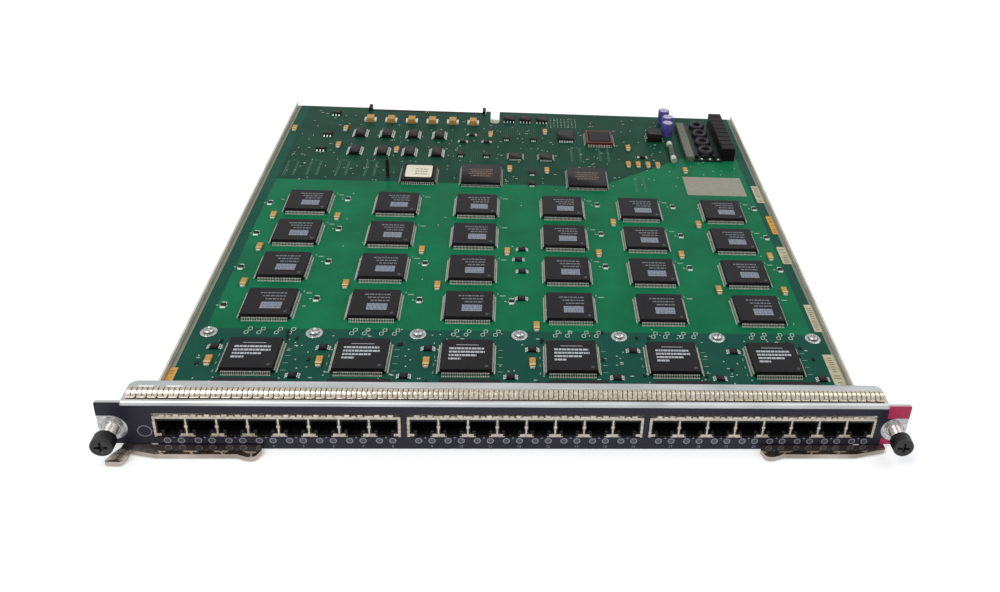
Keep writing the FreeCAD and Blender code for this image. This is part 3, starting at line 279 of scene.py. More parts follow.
def turned(profile, sides, places, turn=UP, start=0.0):
    """Lathe work: ring i is a circle of radius profile[i][0] at height profile[i][1] on an axis.

    Point j stands at the angle start + 2 pi j / sides; turn gives the axis, places the copies.
    """
    profile = np.asarray(profile, float)
    angle = start + 2 * np.pi * np.arange(sides) / sides
    ring = np.stack([np.cos(angle), np.sin(angle)], -1)
    grid = np.concatenate([profile[:, None, :1] * ring,
                           np.broadcast_to(profile[:, None, 1:], (len(profile), sides, 1))], -1)
    return grid @ turn + np.asarray(places, float).reshape(-1, 1, 1, 3)


def moulded(width, depth, corner, profile, places, turn=UP, per=3):
    """Rounded rectangles stacked on an axis: ring i is inset by profile[i][0] at height profile[i][1].

    Round each corner the points, per of them, are its centre plus (corner - inset) times (cos, sin)
    of the angle.
    """
    profile = np.asarray(profile, float)
    quarter = np.arange(4 * per) // per
    angle = np.pi / 2 * (quarter + (np.arange(4 * per) % per) / (per - 1))
    middle = np.pi / 2 * (quarter + 0.5)
    centre = np.stack([np.sign(np.cos(middle)) * (width / 2 - corner),
                       np.sign(np.sin(middle)) * (depth / 2 - corner)], -1)
    ring = np.stack([np.cos(angle), np.sin(angle)], -1)
    flat = centre + np.maximum(corner - profile[:, :1], 0)[..., None] * ring
    flat = flat - np.maximum(profile[:, :1] - corner, 0)[..., None] * np.sign(centre)
    grid = np.concatenate([flat, np.broadcast_to(profile[:, None, 1:], flat.shape[:2] + (1,))], -1)
    return grid @ turn + np.asarray(places, float).reshape(-1, 1, 1, 3)


def band(inner, outer, thick):
    """Profile round the section of a flat ring between two radii, for a skin that loops."""
    return [(inner, 0), (outer, 0), (outer, thick), (inner, thick)]


INK = 0.03 * MM                     # silk-screened ink stands a few hundredths proud of the film
LIGHT_SPACING = 6.3 * MM
LIGHT_HEIGHT = 5.1 * MM
LIGHT_SHIFT = 0.7 * MM              # the row of lights stands a little right of the ports

ink = surface("pale grey screen ink", "#84858c", "#9d9ea4", (0.5, 0.6), 0.8)


def places_at(x, y, z):
    """Places from three coordinates in metres, each one value or an array of them."""
    return np.stack(np.broadcast_arrays(np.asarray(x, float), y, z), -1)


light_x = (ports[:, None] + LIGHT_SPACING * np.array([-0.5, 0.5])).ravel() + LIGHT_SHIFT
show("light_rings", turned(band(1.25 * MM, 1.7 * MM, INK), 20, places_at(light_x, FACE, LIGHT_HEIGHT),
                           FORWARD), ink, "overlay_film", smooth=False, loop=True)

STATUS_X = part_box("light_guides")[0].x + 2.4 * MM
STATUS_Z = 10.8 * MM
show("status_ring", turned(band(2.95 * MM, 3.3 * MM, INK), 40, places_at([STATUS_X], FACE, STATUS_Z),
                           FORWARD), ink, "overlay_film", smooth=False, loop=True)

# smoked lens in each pair of rings: the light pipe behind the film shows as a dull disc
lens = surface("smoked lens of clear film", "#3a3c44", "#4b4d55", (0.12, 0.2), 1.5)
show("light_lenses", turned([(1.2 * MM, 0), (1.2 * MM, INK / 2), (0.6 * MM, INK), (0.05 * MM, INK)], 16,
                            places_at(light_x, FACE, LIGHT_HEIGHT), FORWARD), lens, "overlay_film")

# small arrowheads between the two rings of a port, and the port's own number below them
triangle = turned([(0.62 * MM, 0), (0.62 * MM, INK)], 3,
                  places_at(ports + LIGHT_SHIFT, FACE, LIGHT_HEIGHT + 1.9 * MM), FORWARD, start=math.pi / 2)
show("port_arrows", triangle, ink, "overlay_film", smooth=False)

DIGIT_HEIGHT = 1.5 * MM
DIGIT_FOOT = 0.9 * MM
FONT_BODY = 1.35                    # height of a font's body against that of its digits
digit_parts = []
for count, x in enumerate(light_x[::2] + LIGHT_SPACING):
    text = bpy.data.curves.new("digit", "FONT")
    text.body = str(count + 1)
    text.size = DIGIT_HEIGHT * FONT_BODY
    text.align_x = "CENTER"
    text.extrude = INK / 2
    text.resolution_u = 2
    letter = bpy.data.objects.new("digit", text)
    scene.collection.objects.link(letter)
    bpy.context.view_layer.update()
    flat = bpy.data.meshes.new_from_object(letter)
    points = np.zeros(len(flat.vertices) * 3)
    flat.vertices.foreach_get("co", points)
    points = points.reshape(-1, 3) @ FORWARD + np.array([x, FACE - INK / 2, DIGIT_FOOT])
    digit_parts.append((points, [list(face.vertices) for face in flat.polygons]))
    bpy.data.objects.remove(letter)
    bpy.data.meshes.remove(flat)
digit_points, digit_faces = [], []
for points, faces in digit_parts:
    digit_faces += [[i + len(digit_points) for i in face] for face in faces]
    digit_points += points.tolist()
digit_mesh = bpy.data.meshes.new("port_numbers")
digit_mesh.from_pydata(digit_points, [], digit_faces)
digit_mesh.materials.append(ink)
port_numbers = bpy.data.objects.new("port_numbers", digit_mesh)
scene.collection.objects.link(port_numbers)
fit(port_numbers, "overlay_film")


# ---- Spring gasket along the top flange ----
# Beryllium copper strip, bright tin plated: one folded foot with a row of bowed fingers that press
# on the neighbouring card. Each finger is split in two, so the bow shows twice as many slits.
gasket_low, gasket_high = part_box("emi_gasket")
GASKET_PITCH = 4.76 * MM
GASKET_CELLS = int(round((gasket_high.x - gasket_low.x + 0.7 * MM) / GASKET_PITCH))
GASKET_SHEET = 0.22 * MM
GASKET_BOW = 2.3 * MM
FOOT_DEPTH = 1.5 * MM
FINGER_WIDTH = 2.0 * MM
FINGER_OFFSET = 1.19 * MM           # each half finger stands this far from its cell's middle
CELL_SHIFT = 0.35 * MM
SAG = 0.1 * MM
BASE_MARGIN = 0.2 * MM

tin_spring = surface("bright tin-plated spring strip", "#a39a8a", "#d0c8b8", (0.14, 0.28), 1.2, metallic=0.95,
                     bump=0.004)


def finger(width, depth, bow, sheet, across, along):
    """Bowed strip as rings along its depth, closed in section.

    Its height over the flange is bow times the sine of pi t to the power 0.8; across the width the
    strip sags by a parabola, by SAG at each edge. The rings go from t = 0 to 1.
    """
    t = np.linspace(0, 1, along)[:, None]
    s = np.concatenate([np.linspace(-1, 1, across), np.linspace(1, -1, across)])[None, :]
    upper = np.concatenate([np.zeros(across), np.ones(across)])[None, :]
    arch = np.sin(np.pi * t)
    height = bow * arch ** 0.8 + sheet * upper - SAG * s ** 2 * arch
    return places_at(s * width / 2, t * depth, height)


bow_depth = gasket_high.y - gasket_low.y - FOOT_DEPTH
cell = gasket_low.x + GASKET_PITCH * (np.arange(GASKET_CELLS) + 0.5) - CELL_SHIFT
half_finger = finger(FINGER_WIDTH, bow_depth, GASKET_BOW, GASKET_SHEET, across=3, along=10)
finger_x = (cell[:, None] + np.array([-FINGER_OFFSET, FINGER_OFFSET])).ravel()
finger_places = places_at(finger_x, gasket_low.y + FOOT_DEPTH, gasket_low.z)
show("gasket_fingers", half_finger[None] + finger_places[:, None, None], tin_spring, "gasket_spring",
     "emi_gasket")

# the foot: a raised pad in front of each whole finger
foot_profile = mm((0.25, 0), (0, 0.12), (0, 0.45), (0.25, 0.62))
foot_places = places_at(cell, gasket_low.y + FOOT_DEPTH / 2 + 0.35 * MM, gasket_low.z)
show("gasket_foot", moulded(GASKET_PITCH - 0.5 * MM, FOOT_DEPTH - 0.5 * MM, 0.3 * MM, foot_profile,
                            foot_places), tin_spring, "gasket_spring")

# the strip's flat base, painted dark brown as the shade under the fingers
base_shade_paint = surface("strip base painted dark as shade", "#2a221b", "#4a3e33", (0.5, 0.65), 1.6, metallic=0.2,
                  ior=1.35)
base_depth = gasket_high.y - gasket_low.y - BASE_MARGIN
show("gasket_base", moulded(gasket_high.x - gasket_low.x - 2 * BASE_MARGIN, base_depth, 0.3 * MM,
                            mm((0, 0), (0, 0.1), (0.05, 0.14)),
                            [((gasket_low.x + gasket_high.x) / 2, gasket_low.y + base_depth / 2 + 0.05 * MM,
                              gasket_low.z)]), base_shade_paint, "gasket_spring")

# two short raised tabs of the flange behind the gasket's left end, coloured near white as a painted highlight
tab_places = places_at(gasket_low.x + np.array([6.5, 19.5]) * MM, gasket_high.y + 0.9 * MM, gasket_low.z)
show("flange_tabs", moulded(7.6 * MM, 1.1 * MM, 0.4 * MM, mm((0.1, -0.05), (0, 0.15), (0.25, 0.4)),
                            tab_places), surface("near-white zinc painted as highlight", "#dcdcdc", "#efefef", (0.3, 0.4), 2.0,
                                                 metallic=0.3), "panel_steel")


# ---- Captive thumbscrews ----
# Turned steel, black oxidised, with a knurled rim and a cross recess; each slides in a bright
# ridged ferrule pressed into the panel, and a spring ring behind the panel keeps it there.
black_oxide = surface("black oxidised steel", "#060607", "#101012", (0.3, 0.45), 0.6, metallic=0.0, ior=1.45,
                      bump=0.004)
bright_steel = surface("bright turned steel", "#a5a29c", "#cbc8c2", (0.18, 0.34), 1.0, metallic=1.0,
                       bump=0.003)

KNURLS = 44
RIM_POINTS = KNURLS * 4
HEAD_RADIUS, HEAD_LENGTH, HOLLOW_RADIUS, SHANK_RADIUS = 5.2, 6.7, 3.9, 2.0       # millimetres
KNURL_DEPTH, CROSS_DEPTH = 0.12, 1.1
CROSS_HALF_LENGTH, CROSS_HALF_WIDTH = 2.5, 0.55


def cross_arms(x, y, half_length, half_width):
    """At most 1 inside a cross of two bars round the origin, and growing away from it."""
    return np.minimum(np.maximum(np.abs(x) / half_length, np.abs(y) / half_width),
                      np.maximum(np.abs(y) / half_length, np.abs(x) / half_width))


def knurled_head(radius, length, hollow, shank, shank_length):
    """One skin from the shank's tip, up the hollow and round the rim to the middle of the face.

    The rim's radius dips by KNURL_DEPTH times (1 - cos of KNURLS times the angle) / 2, and near the
    middle of the face the height drops by the recess depth inside a cross of two rounded bars.
    """
    rows = [(0.02, -shank_length), (shank - 0.4, -shank_length), (shank, 0.4 - shank_length),
            (shank, length * 0.72), (hollow, length * 0.72), (hollow, 0.0), (radius - 0.5, 0.0),
            (radius, 0.4)]
    rows += [(radius, h) for h in np.linspace(0.8, length - 0.9, 5)]
    rows += [(radius - 0.15, length - 0.45), (radius - 0.5, length - 0.1), (radius - 0.9, length),
             (radius - 1.25, length), (radius - 1.35, length - 0.18), (radius - 1.7, length - 0.2)]
    rows += [(r, length - 0.2) for r in np.linspace(radius - 2.0, 0.05, 16)]
    rows = np.array(rows)
    angle = 2 * np.pi * np.arange(RIM_POINTS) / RIM_POINTS
    rim = (rows[:, 0] > radius - 0.2)[:, None]
    r = rows[:, :1] - KNURL_DEPTH * rim * (1 - np.cos(KNURLS * angle)) / 2
    x, y = r * np.cos(angle), r * np.sin(angle)
    arm = cross_arms(x, y, CROSS_HALF_LENGTH, CROSS_HALF_WIDTH)
    recess = np.clip((1.25 - arm) / 0.3, 0, 1) * (rows[:, 1] > length - 0.25)[:, None] * (r < radius - 1.5)
    return places_at(x, y, rows[:, 1:] - CROSS_DEPTH * recess) * MM


# the shank reaches from the head to the back of the node's own box
for side in SIDES:
    low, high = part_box("thumbscrew_" + side)
    head_back = low.y / MM + HEAD_LENGTH
    screw_middle = ((low.x + high.x) / 2, head_back * MM, (low.z + high.z) / 2)
    head = knurled_head(HEAD_RADIUS, HEAD_LENGTH, HOLLOW_RADIUS, SHANK_RADIUS, high.y / MM - head_back)
    show("thumbscrew_" + side + "_knurled", (head @ FORWARD + np.array(screw_middle))[None], black_oxide,
         "thumbscrew_black", "thumbscrew_" + side, body="screw_" + side)
    coat("retaining_ring_" + side, bright_steel)

# ferrule: fine rings run round it, and a collar is rolled over on the panel's front
bush_low, bush_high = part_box("screw_bushes")
BUSH_RADIUS, BUSH_BORE, RING_DEPTH = 3.5, 2.07, 0.12                           # millimetres
bush_length = (bush_high.y - bush_low.y) / MM
ridge = np.linspace(1.6, bush_length - 1.4, 25)
ferrule_rows = [(BUSH_BORE, 0.0), (BUSH_RADIUS, 0.0), (BUSH_RADIUS, 1.5)]
ferrule_rows += [(BUSH_RADIUS - RING_DEPTH * (i % 2), h) for i, h in enumerate(ridge)]
ferrule_rows += [(BUSH_RADIUS - 0.25, bush_length - 0.9), (BUSH_RADIUS - 0.25, bush_length - 0.15),
                 (BUSH_RADIUS - 0.4, bush_length), (2.2, bush_length), (BUSH_BORE, bush_length - 0.2)]
bush_places = [(x, bush_high.y, screw_middle[2]) for x in (-screw_middle[0], screw_middle[0])]
show("ferrules", turned(np.array(ferrule_rows) * MM, 36, bush_places, FORWARD), bright_steel, "bush_steel",
     "screw_bushes", loop=True)

collar = [(BUSH_RADIUS, 0.0), (4.15, 0.0), (4.2, 0.25), (3.95, 0.5), (BUSH_RADIUS, 0.5)]
collar_places = [(x, FACE + FILM, z) for x, _, z in bush_places]
show("ferrule_collars", turned(np.array(collar) * MM, 36, collar_places, FORWARD), bright_steel, "bush_steel",
     loop=True)

# a dished boss round each ferrule, bright and slightly scuffed, cut off at the ear's edge
EAR_INSET = 5.85 * MM
dish = [(4.3, 0.0), (7.15, 0.0), (7.2, 0.08), (6.9, 0.22), (5.0, 0.3), (4.4, 0.26)]
dish_grid = turned(np.array(dish) * MM, 48, [(0, 0, 0)] * 2, FORWARD)
for copy, outward in ((0, -1), (1, 1)):
    x, z = dish_grid[copy, ..., 0] * outward, dish_grid[copy, ..., 2]
    shrink = np.where((x > 0) & (z < 0), np.minimum(1, EAR_INSET / np.hypot(x, z)), 1)
    dish_grid[copy, ..., 0] = np.minimum(x * shrink, EAR_INSET) * outward
    dish_grid[copy, ..., 2] = z * shrink
dish_grid += np.array(collar_places).reshape(2, 1, 1, 3)
show("ferrule_dishes", dish_grid,
     surface("scuffed bright zinc plate", "#9c9fa1", "#d3d5d6", (0.22, 0.42), 2.0, metallic=0.9, bump=0.006),
     "panel_steel", loop=True)


# ---- Ejector levers, brackets and rivets ----
# Levers pressed from 2.4 mm steel sheet and nickel plated, with edges tumbled round. They swing on
# rivets set in small angle brackets behind the panel.
nickel = surface("tumbled nickel-plated steel", "#8f857b", "#bdb4aa", (0.07, 0.15), 9.0, metallic=0.95,
                 bump=0.004, stretch=(0.5, 1, 1))

TUMBLED_EDGE = 0.7 * MM


def softened(node_name, width, material):
    """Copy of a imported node's mesh, its points merged and its edges rounded by a bevel."""
    mesh = nodes[node_name].data.copy()
    mesh.name = node_name + "_softened"
    mesh.materials.clear()
    mesh.materials.append(material)
    piece = bpy.data.objects.new(node_name + "_softened", mesh)
    scene.collection.objects.link(piece)
    weld = piece.modifiers.new("weld", "WELD")
    weld.merge_threshold = 0.01 * MM
    bevel = piece.modifiers.new("tumbled edge", "BEVEL")
    bevel.width = width
    bevel.segments = 3
    bevel.limit_method = "ANGLE"
    bevel.angle_limit = math.radians(40)
    bevel.harden_normals = False
    mesh.polygons.foreach_set("use_smooth", np.ones(len(mesh.polygons), bool))
    mesh.set_sharp_from_angle(angle=math.radians(180))
    return piece


for side in SIDES:
    lever = softened("ejector_lever_" + side, TUMBLED_EDGE, nickel)
    fit(lever, "lever_nickel", "ejector_lever_" + side, body="lever_" + side)
coat("lever_brackets", zinc)
coat("lever_rivets", bright_steel)


# ---- Ports: shields, housings and contact springs ----
# Each bank of eight jacks is one black moulding under a folded tin-plated cover. The cover's front
# is a lattice with T-shaped feet between the ports and a row of small spring tabs above them.
shield_tin = surface("tin-plated shield sheet", "#9f978b", "#cfc7ba", (0.22, 0.42), 1.6, metallic=0.85,
                     bump=0.006)
jack_black = surface("black glass-filled polyester", "#020202", "#050506", (0.5, 0.65), 0.6, ior=1.35,
                     bump=0.01)
contact_gold = surface("gold-flashed phosphor bronze", "#8a6a38", "#b8935a", (0.25, 0.4), 0.6, metallic=1.0)
coat("jack_contacts", jack_black)
SHEET = 0.3 * MM
BAR = 1.35 * MM                     # top bar of the lattice
FOOT_WIDTH = 5.8 * MM
FOOT_HEIGHT = 1.5 * MM
SILL_HEIGHT = 0.5 * MM
TAB_RISE = 1.4 * MM                 # spring tabs stand this far over the cover's roof
POST_INSET = 0.6 * MM
FOOT_PROUD = 0.04 * MM
edge_profile = mm((0.12, 0), (0, 0.1), (0, 0.25), (0.08, 0.32))
bulge = mm((0.45, 0), (0.15, 0.25), (0.05, 0.42), (0.4, 0.55))
curl = mm((0.2, 0), (0, 0.15), (0, 0.4), (0.25, 0.62))


def bars(x, z, width, height, front, profile=edge_profile, corner=0.15):
    """Rounded strips standing on the lattice's plane: middles x and z, width and height of each."""
    return moulded(width, height, corner * MM, profile, places_at(x, front, z), FORWARD)


for side, bank_ports in zip(BANKS, ports.reshape(len(BANKS), PORTS_PER_BANK)):
    coat("jack_housing_" + side, jack_black)
    low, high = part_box("jack_shield_" + side)
    top = high.z - TAB_RISE
    front = low.y + SHEET
    middle = (low.x + high.x) / 2
    # roof, sides, floor and back: a folded cover, open in front
    wide = high.x - low.x
    tall = top - low.z
    walls = moulded(wide, tall, 0.3 * MM,
                    [(SHEET, high.y - front - SHEET), (SHEET, 0), (0, 0), (0, high.y - front)],
                    [(middle, front, low.z + tall / 2)], BACKWARD)
    show("shield_cover_" + side, walls, shield_tin, "shield_tin")
    # lattice: top bar, dividers, end posts, feet and a thin sill under each foot; then a bulge on
    # each divider, two curled spring tabs a port above the bar with low stubs between, side teeth
    between = (bank_ports[1:] + bank_ports[:-1]) / 2
    ends = np.array([low.x + POST_INSET, high.x - POST_INSET])
    post_height = tall - BAR
    foot_middle = low.z + SILL_HEIGHT + FOOT_HEIGHT / 2
    tab_x = (bank_ports[:, None] + np.array([-3.1, 3.1]) * MM).ravel()
    tooth_z = np.tile(low.z + tall * np.array([0.3, 0.52, 0.74]), 2)
    lattice = [
        bars(np.array([middle]), top - BAR / 2, wide, BAR, front),
        bars(between, low.z + post_height / 2, 0.85 * MM, post_height, front),
        bars(ends, low.z + post_height / 2, 1.2 * MM, post_height, front),
        bars(between, foot_middle, FOOT_WIDTH, FOOT_HEIGHT, front - FOOT_PROUD),
        bars(between, low.z + SILL_HEIGHT / 2 + 0.1 * MM, FOOT_WIDTH + 1.8 * MM, SILL_HEIGHT, front),
        bars(ends + np.array([1.1, -1.1]) * MM, foot_middle, 3.2 * MM, FOOT_HEIGHT, front - FOOT_PROUD),
        bars(between, low.z + tall * 0.52, 1.7 * MM, 2.0 * MM, front, bulge, 0.6),
        bars(tab_x, top + 0.6 * MM, 2.6 * MM, 1.5 * MM, front, curl, 0.3),
        bars(bank_ports, top + 0.35 * MM, 2.0 * MM, 0.9 * MM, front),
        bars(between, top + 0.35 * MM, 4.2 * MM, 0.9 * MM, front),
        bars(np.repeat(ends, 3), tooth_z, 1.6 * MM, 1.1 * MM, front, bulge, 0.5),
    ]
    show("shield_lattice_" + side, np.concatenate(lattice), shield_tin, "shield_tin", "jack_shield_" + side)

# contact springs: eight bent wires hang in each socket, forwards and down from its roof
CONTACTS = 8
CONTACT_PITCH = 1.02 * MM
housing_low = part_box("jack_housing_centre")[0]
contact_x = (ports[:, None] + row(CONTACTS, CONTACT_PITCH)).ravel()
path_y = np.array([1.6, 2.4, 6.5, 10.8]) * MM
path_z = np.array([-0.4, -0.9, -2.6, -4.1]) * MM
WIRE_WIDTH = 0.34 * MM
section = np.array([(-0.5, -0.5), (0.5, -0.5), (0.5, 0.5), (-0.5, 0.5)]) * WIRE_WIDTH
wire = places_at(section[:, 0], path_y[:, None], path_z[:, None] + section[:, 1])[:, ::-1]
ROOF_HEIGHT = (2.6 + 6.9) * MM       # the sill under a socket and the height of its opening
wire_places = places_at(contact_x, housing_low.y, housing_low.z + ROOF_HEIGHT)
show("contact_wires", wire[None] + wire_places[:, None, None], contact_gold, "contact_metal", smooth=False)

# two small latch shoulders at the floor of every socket catch the light: they are painted lighter than the
# housing as a highlight
shoulder_x = (ports[:, None] + np.array([-4.1, 4.1]) * MM).ravel()
show("socket_shoulders",
     moulded(1.7 * MM, 1.0 * MM, 0.2 * MM, mm((0.1, 0), (0, 0.1), (0, 1.2), (0.2, 1.4)),
             places_at(shoulder_x, housing_low.y + 2.0 * MM, housing_low.z + 2.3 * MM), FORWARD),
     surface("black polyester painted lighter as highlight", "#141211", "#2b2825", (0.35, 0.5), 0.8), "jack_mould")

clear_acrylic = surface("clear moulded acrylic", "#55575c", "#63656a", (0.08, 0.16), 2.0, ior=1.4)
clear_acrylic.node_tree.nodes["Principled BSDF"].inputs["Transmission Weight"].default_value = 0.7
coat("light_guides", clear_acrylic)
coat("lights", surface("milky lamp epoxy", "#8b9a62", "#a9b77c", (0.2, 0.35), 1.0, ior=1.53))


# ---- Carrier tray ----
# One sheet of bright zinc-plated steel with two low side walls; only its edges show round the board.
coat("carrier_tray", surface("dull zinc-plated tray sheet", "#c3c1b4", "#d6d4c8", (0.4, 0.55), 12.0,
                             metallic=0.2, bump=0.005))
coat("standoffs", bright_steel)


# ---- Circuit board ----
# Glass epoxy laminate under green solder mask, whose shade follows the copper below: bright over
# the planes under the big chips, darker at the front, at the back and along both edges.
board_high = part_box("circuit_board")[1]
BOARD_TOP = board_high.z
REAR_LINE, FRONT_LINE, EDGE_LINE = 255 * MM, 82.5 * MM, 168.5 * MM      # where the shade changes
SLANT_START, SLANT = 57 * MM, 0.72
SOFT_LINE = 0.6 * MM
TINNED_EDGE = 2.1 * MM
mask = surface("green solder mask over copper", "#0b6240", "#13724b", (0.3, 0.42), 26.0, ior=1.12, bump=0.006)
mask_shader = mask.node_tree.nodes["Principled BSDF"]
plain_shade = mask_shader.inputs["Base Color"].links[0].from_socket
mask_place = add(mask, "TexCoord")
mask_xyz = add(mask, "SeparateXYZ", {"Vector": mask_place.outputs["Object"]})


def step(material, value, edge, soft):
    """0 below an edge and 1 above it, over a soft width in metres."""
    ramp = add(material, "MapRange",
               {"Value": value, "From Min": edge - soft / 2, "From Max": edge + soft / 2})
    return ramp.outputs[0]


def combine(material, operation, first, second):
    """One arithmetic step between two values or outputs."""
    return add(material, "Math", {0: first, 1: second}, operation=operation).outputs[0]


# rear zone: behind a line that runs straight, then slants back towards the right
slant = combine(mask, "MULTIPLY",
                combine(mask, "MAXIMUM", combine(mask, "SUBTRACT", mask_xyz.outputs[0], SLANT_START), 0.0),
                SLANT)
rear_line = combine(mask, "SUBTRACT", mask_xyz.outputs[1], slant)
rear_zone = step(mask, rear_line, REAR_LINE, SOFT_LINE)
front_zone = combine(mask, "SUBTRACT", 1.0, step(mask, mask_xyz.outputs[1], FRONT_LINE, SOFT_LINE))
edge_distance = combine(mask, "ABSOLUTE", mask_xyz.outputs[0], 0.0)
edge_zone = step(mask, edge_distance, EDGE_LINE, SOFT_LINE)
dark_zone = combine(mask, "MAXIMUM", front_zone, edge_zone)
rear_mix = add(mask, "Mix", {0: rear_zone, 6: plain_shade, 7: hue("#153f31")}, data_type="RGBA")
dark_mix = add(mask, "Mix", {0: dark_zone, 6: rear_mix.outputs[2], 7: hue("#184c3e")}, data_type="RGBA")
# traces: fine lines of slightly paler mask run front to back, broken by noise
trace_wave = add(mask, "TexWave",
                 {"Vector": mask_place.outputs["Object"], "Scale": 1 / (5.0 * MM), "Distortion": 1.5,
                  "Detail": 1.0}, bands_direction="X")
trace_patch = add(mask, "TexNoise",
                  {"Vector": mask_place.outputs["Object"], "Scale": 1 / (22 * MM), "Detail": 2.0})
trace_here = combine(mask, "MULTIPLY", step(mask, trace_wave.outputs[1], 0.82, 0.1),
                     step(mask, trace_patch.outputs[0], 0.52, 0.1))
trace_mix = add(mask, "Mix",
                {0: combine(mask, "MULTIPLY", trace_here, 0.2), 6: dark_mix.outputs[2], 7: hue("#2f7e5c")},
                data_type="RGBA")
# bare tinned copper strip along both side edges, where the card slides in its guides
strip_zone = step(mask, edge_distance, board_high.x - TINNED_EDGE, 0.2 * MM)
strip_mix = add(mask, "Mix", {0: strip_zone, 6: trace_mix.outputs[2], 7: hue("#8b8a7b")}, data_type="RGBA")
mask.node_tree.links.new(strip_mix.outputs[2], mask_shader.inputs["Base Color"])
coat("circuit_board", mask)


# ---- Large chips ----
# Quad flat packs: black epoxy moulded round a lead frame, with a drafted edge above and below the
# parting line, a mark moulded or printed on top and a dimple at pin one.
def solids(node_name):
    """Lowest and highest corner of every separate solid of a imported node, array [solid, 2, 3].

    Points of triangles that meet take the lowest label among them, until no label changes.
    """
    mesh = nodes[node_name].data
    points = np.zeros(len(mesh.vertices) * 3)
    mesh.vertices.foreach_get("co", points)
    points = points.reshape(-1, 3)
    corners = np.zeros(len(mesh.polygons) * 3, np.int32)
    mesh.polygons.foreach_get("vertices", corners)
    spots, where = np.unique(np.round(points / (0.002 * MM)).astype(np.int64), axis=0, return_inverse=True)
    triangles = where.ravel()[corners].reshape(-1, 3)
    label = np.arange(len(spots))
    while True:
        lowest = np.repeat(label[triangles].min(axis=1), 3)
        after = label.copy()
        np.minimum.at(after, triangles.ravel(), lowest)
        if (after == label).all():
            break
        label = after
    kinds, group = np.unique(label, return_inverse=True)
    low = np.full((len(kinds), 3), 1e9)
    high = np.full((len(kinds), 3), -1e9)
    np.minimum.at(low, group.ravel()[where.ravel()], points)
    np.maximum.at(high, group.ravel()[where.ravel()], points)
    return np.stack([low, high], 1)


def seats(boxes):
    """Middle of the base of each box."""
    return places_at(boxes[:, :, 0].mean(1), boxes[:, :, 1].mean(1), boxes[:, 0, 2])


def over_board(spots, z=BOARD_TOP):
    """Places at one height from rows that begin with x and y."""
    return places_at(spots[:, 0], spots[:, 1], z)


chip_epoxy = surface("black moulded epoxy, fine matt", "#171517", "#201e20", (0.36, 0.48), 1.4, ior=1.2,
                     bump=0.012)
chip_rows = np.concatenate([solids("chip_row_" + str(row)) for row in (1, 2, 3, 4)])
front_row = solids("front_chips")
# the moulded bodies of both kinds measure 27.4 by 26.0 mm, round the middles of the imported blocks
BODY_HALF = np.array([13.7, 13.0]) * MM
for boxes in (chip_rows, front_row):
    middle = boxes.mean(1)[:, :2]
    boxes[:, 0, :2] = middle - BODY_HALF
    boxes[:, 1, :2] = middle + BODY_HALF
all_chips = np.concatenate([chip_rows, front_row])


def chip_bodies(boxes, draft=0.35, corner=0.5):
    """Moulded bodies that fill boxes of one size: vertical waist, drafted above and below it."""
    size = boxes[0, 1] - boxes[0, 0]
    tall = size[2]
    profile = [(draft * MM, 0), (0, tall * 0.45), (0, tall * 0.55), (draft * MM, tall - 0.08 * MM),
               ((draft + 0.1) * MM, tall)]
    return moulded(size[0], size[1], corner * MM, profile, seats(boxes))


show("chips_in_rows", chip_bodies(chip_rows), chip_epoxy, "chip_mould", "chip_row_1", "chip_row_2",
     "chip_row_3", "chip_row_4")
show("chips_at_front", chip_bodies(front_row), chip_epoxy, "chip_mould", "front_chips")

# gull-wing leads: out of the waist, down and flat on the board, narrower on the slope than at the
# shoulder and the foot. Drawn every 0.9 mm, coarser than the real ones, so that they show.
solder_tin = surface("solder-dipped lead alloy", "#a9a89f", "#d6d5cc", (0.3, 0.45), 0.8, metallic=0.35)
QUARTER_TURNS = [np.array([[math.cos(a), math.sin(a), 0], [-math.sin(a), math.cos(a), 0], [0, 0, 1]])
                 for a in (0, math.pi / 2, math.pi, 3 * math.pi / 2)]
SHOULDER = 0.8                      # height at which leads leave a body, against that of its middle


def gull_wings(box, pitch, reach, sides=(0, 1, 2, 3), width=0.42, thick=0.18, margin=1.2):
    """Leads on some sides of a box, as six rings of four points along each lead's path.

    The path leaves the side a little under its middle, drops through a slope and ends flat on the
    board. Pitch, reach, width, thickness and the margin at each corner are in millimetres.
    """
    centre = (box[0] + box[1]) / 2
    half = (box[1] - box[0]) / 2
    shoulder = (centre[2] - BOARD_TOP) * SHOULDER
    foot = thick * MM / 2 + 0.02 * MM
    drop = 0.25 * MM
    path = np.array([(-0.1, shoulder), (reach * 0.3, shoulder), (reach * 0.42, shoulder - drop),
                     (reach * 0.55, foot + drop), (reach * 0.64, foot), (reach, foot)])
    path[:, 0] *= MM
    neck = np.array([1, 1, 0.5, 0.5, 1, 1])[:, None]
    corners = np.array([(-width, -thick), (width, -thick), (width, thick), (-width, thick)]) * MM / 2
    lead = places_at(neck * corners[:, 0], path[:, 1:] + corners[:, 1], path[:, :1])
    sets = []
    for side in sides:
        across, out = (half[1], half[0]) if side % 2 == 0 else (half[0], half[1])
        count = max(int((2 * across / MM - 2 * margin) / pitch) + 1, 1)
        shift = places_at((np.arange(count) - (count - 1) / 2) * pitch * MM, 0, out)[:, None, None]
        placed = (lead + shift) @ ALONG @ QUARTER_TURNS[side]
        sets.append(placed + np.array([centre[0], centre[1], BOARD_TOP]))
    return np.concatenate(sets)


show("chip_pins", np.concatenate([gull_wings(box, 0.9, 1.7, width=0.6) for box in all_chips]), solder_tin,
     "lead_metal", "chip_leads", smooth=False)

# printed marks: a pale block with short bars under it, and lines of dashes that stand for print
rng = np.random.default_rng(24)
chip_ink = surface("pale laser mark in epoxy", "#62666b", "#7d8186", (0.45, 0.55), 0.6)
block_ink = surface("pale blue-grey printed block", "#727b89", "#8f98a6", (0.45, 0.55), 0.6)
white_ink = surface("white printed mark", "#9da1a4", "#bcc0c2", (0.45, 0.55), 0.6)
MARK = 0.02 * MM


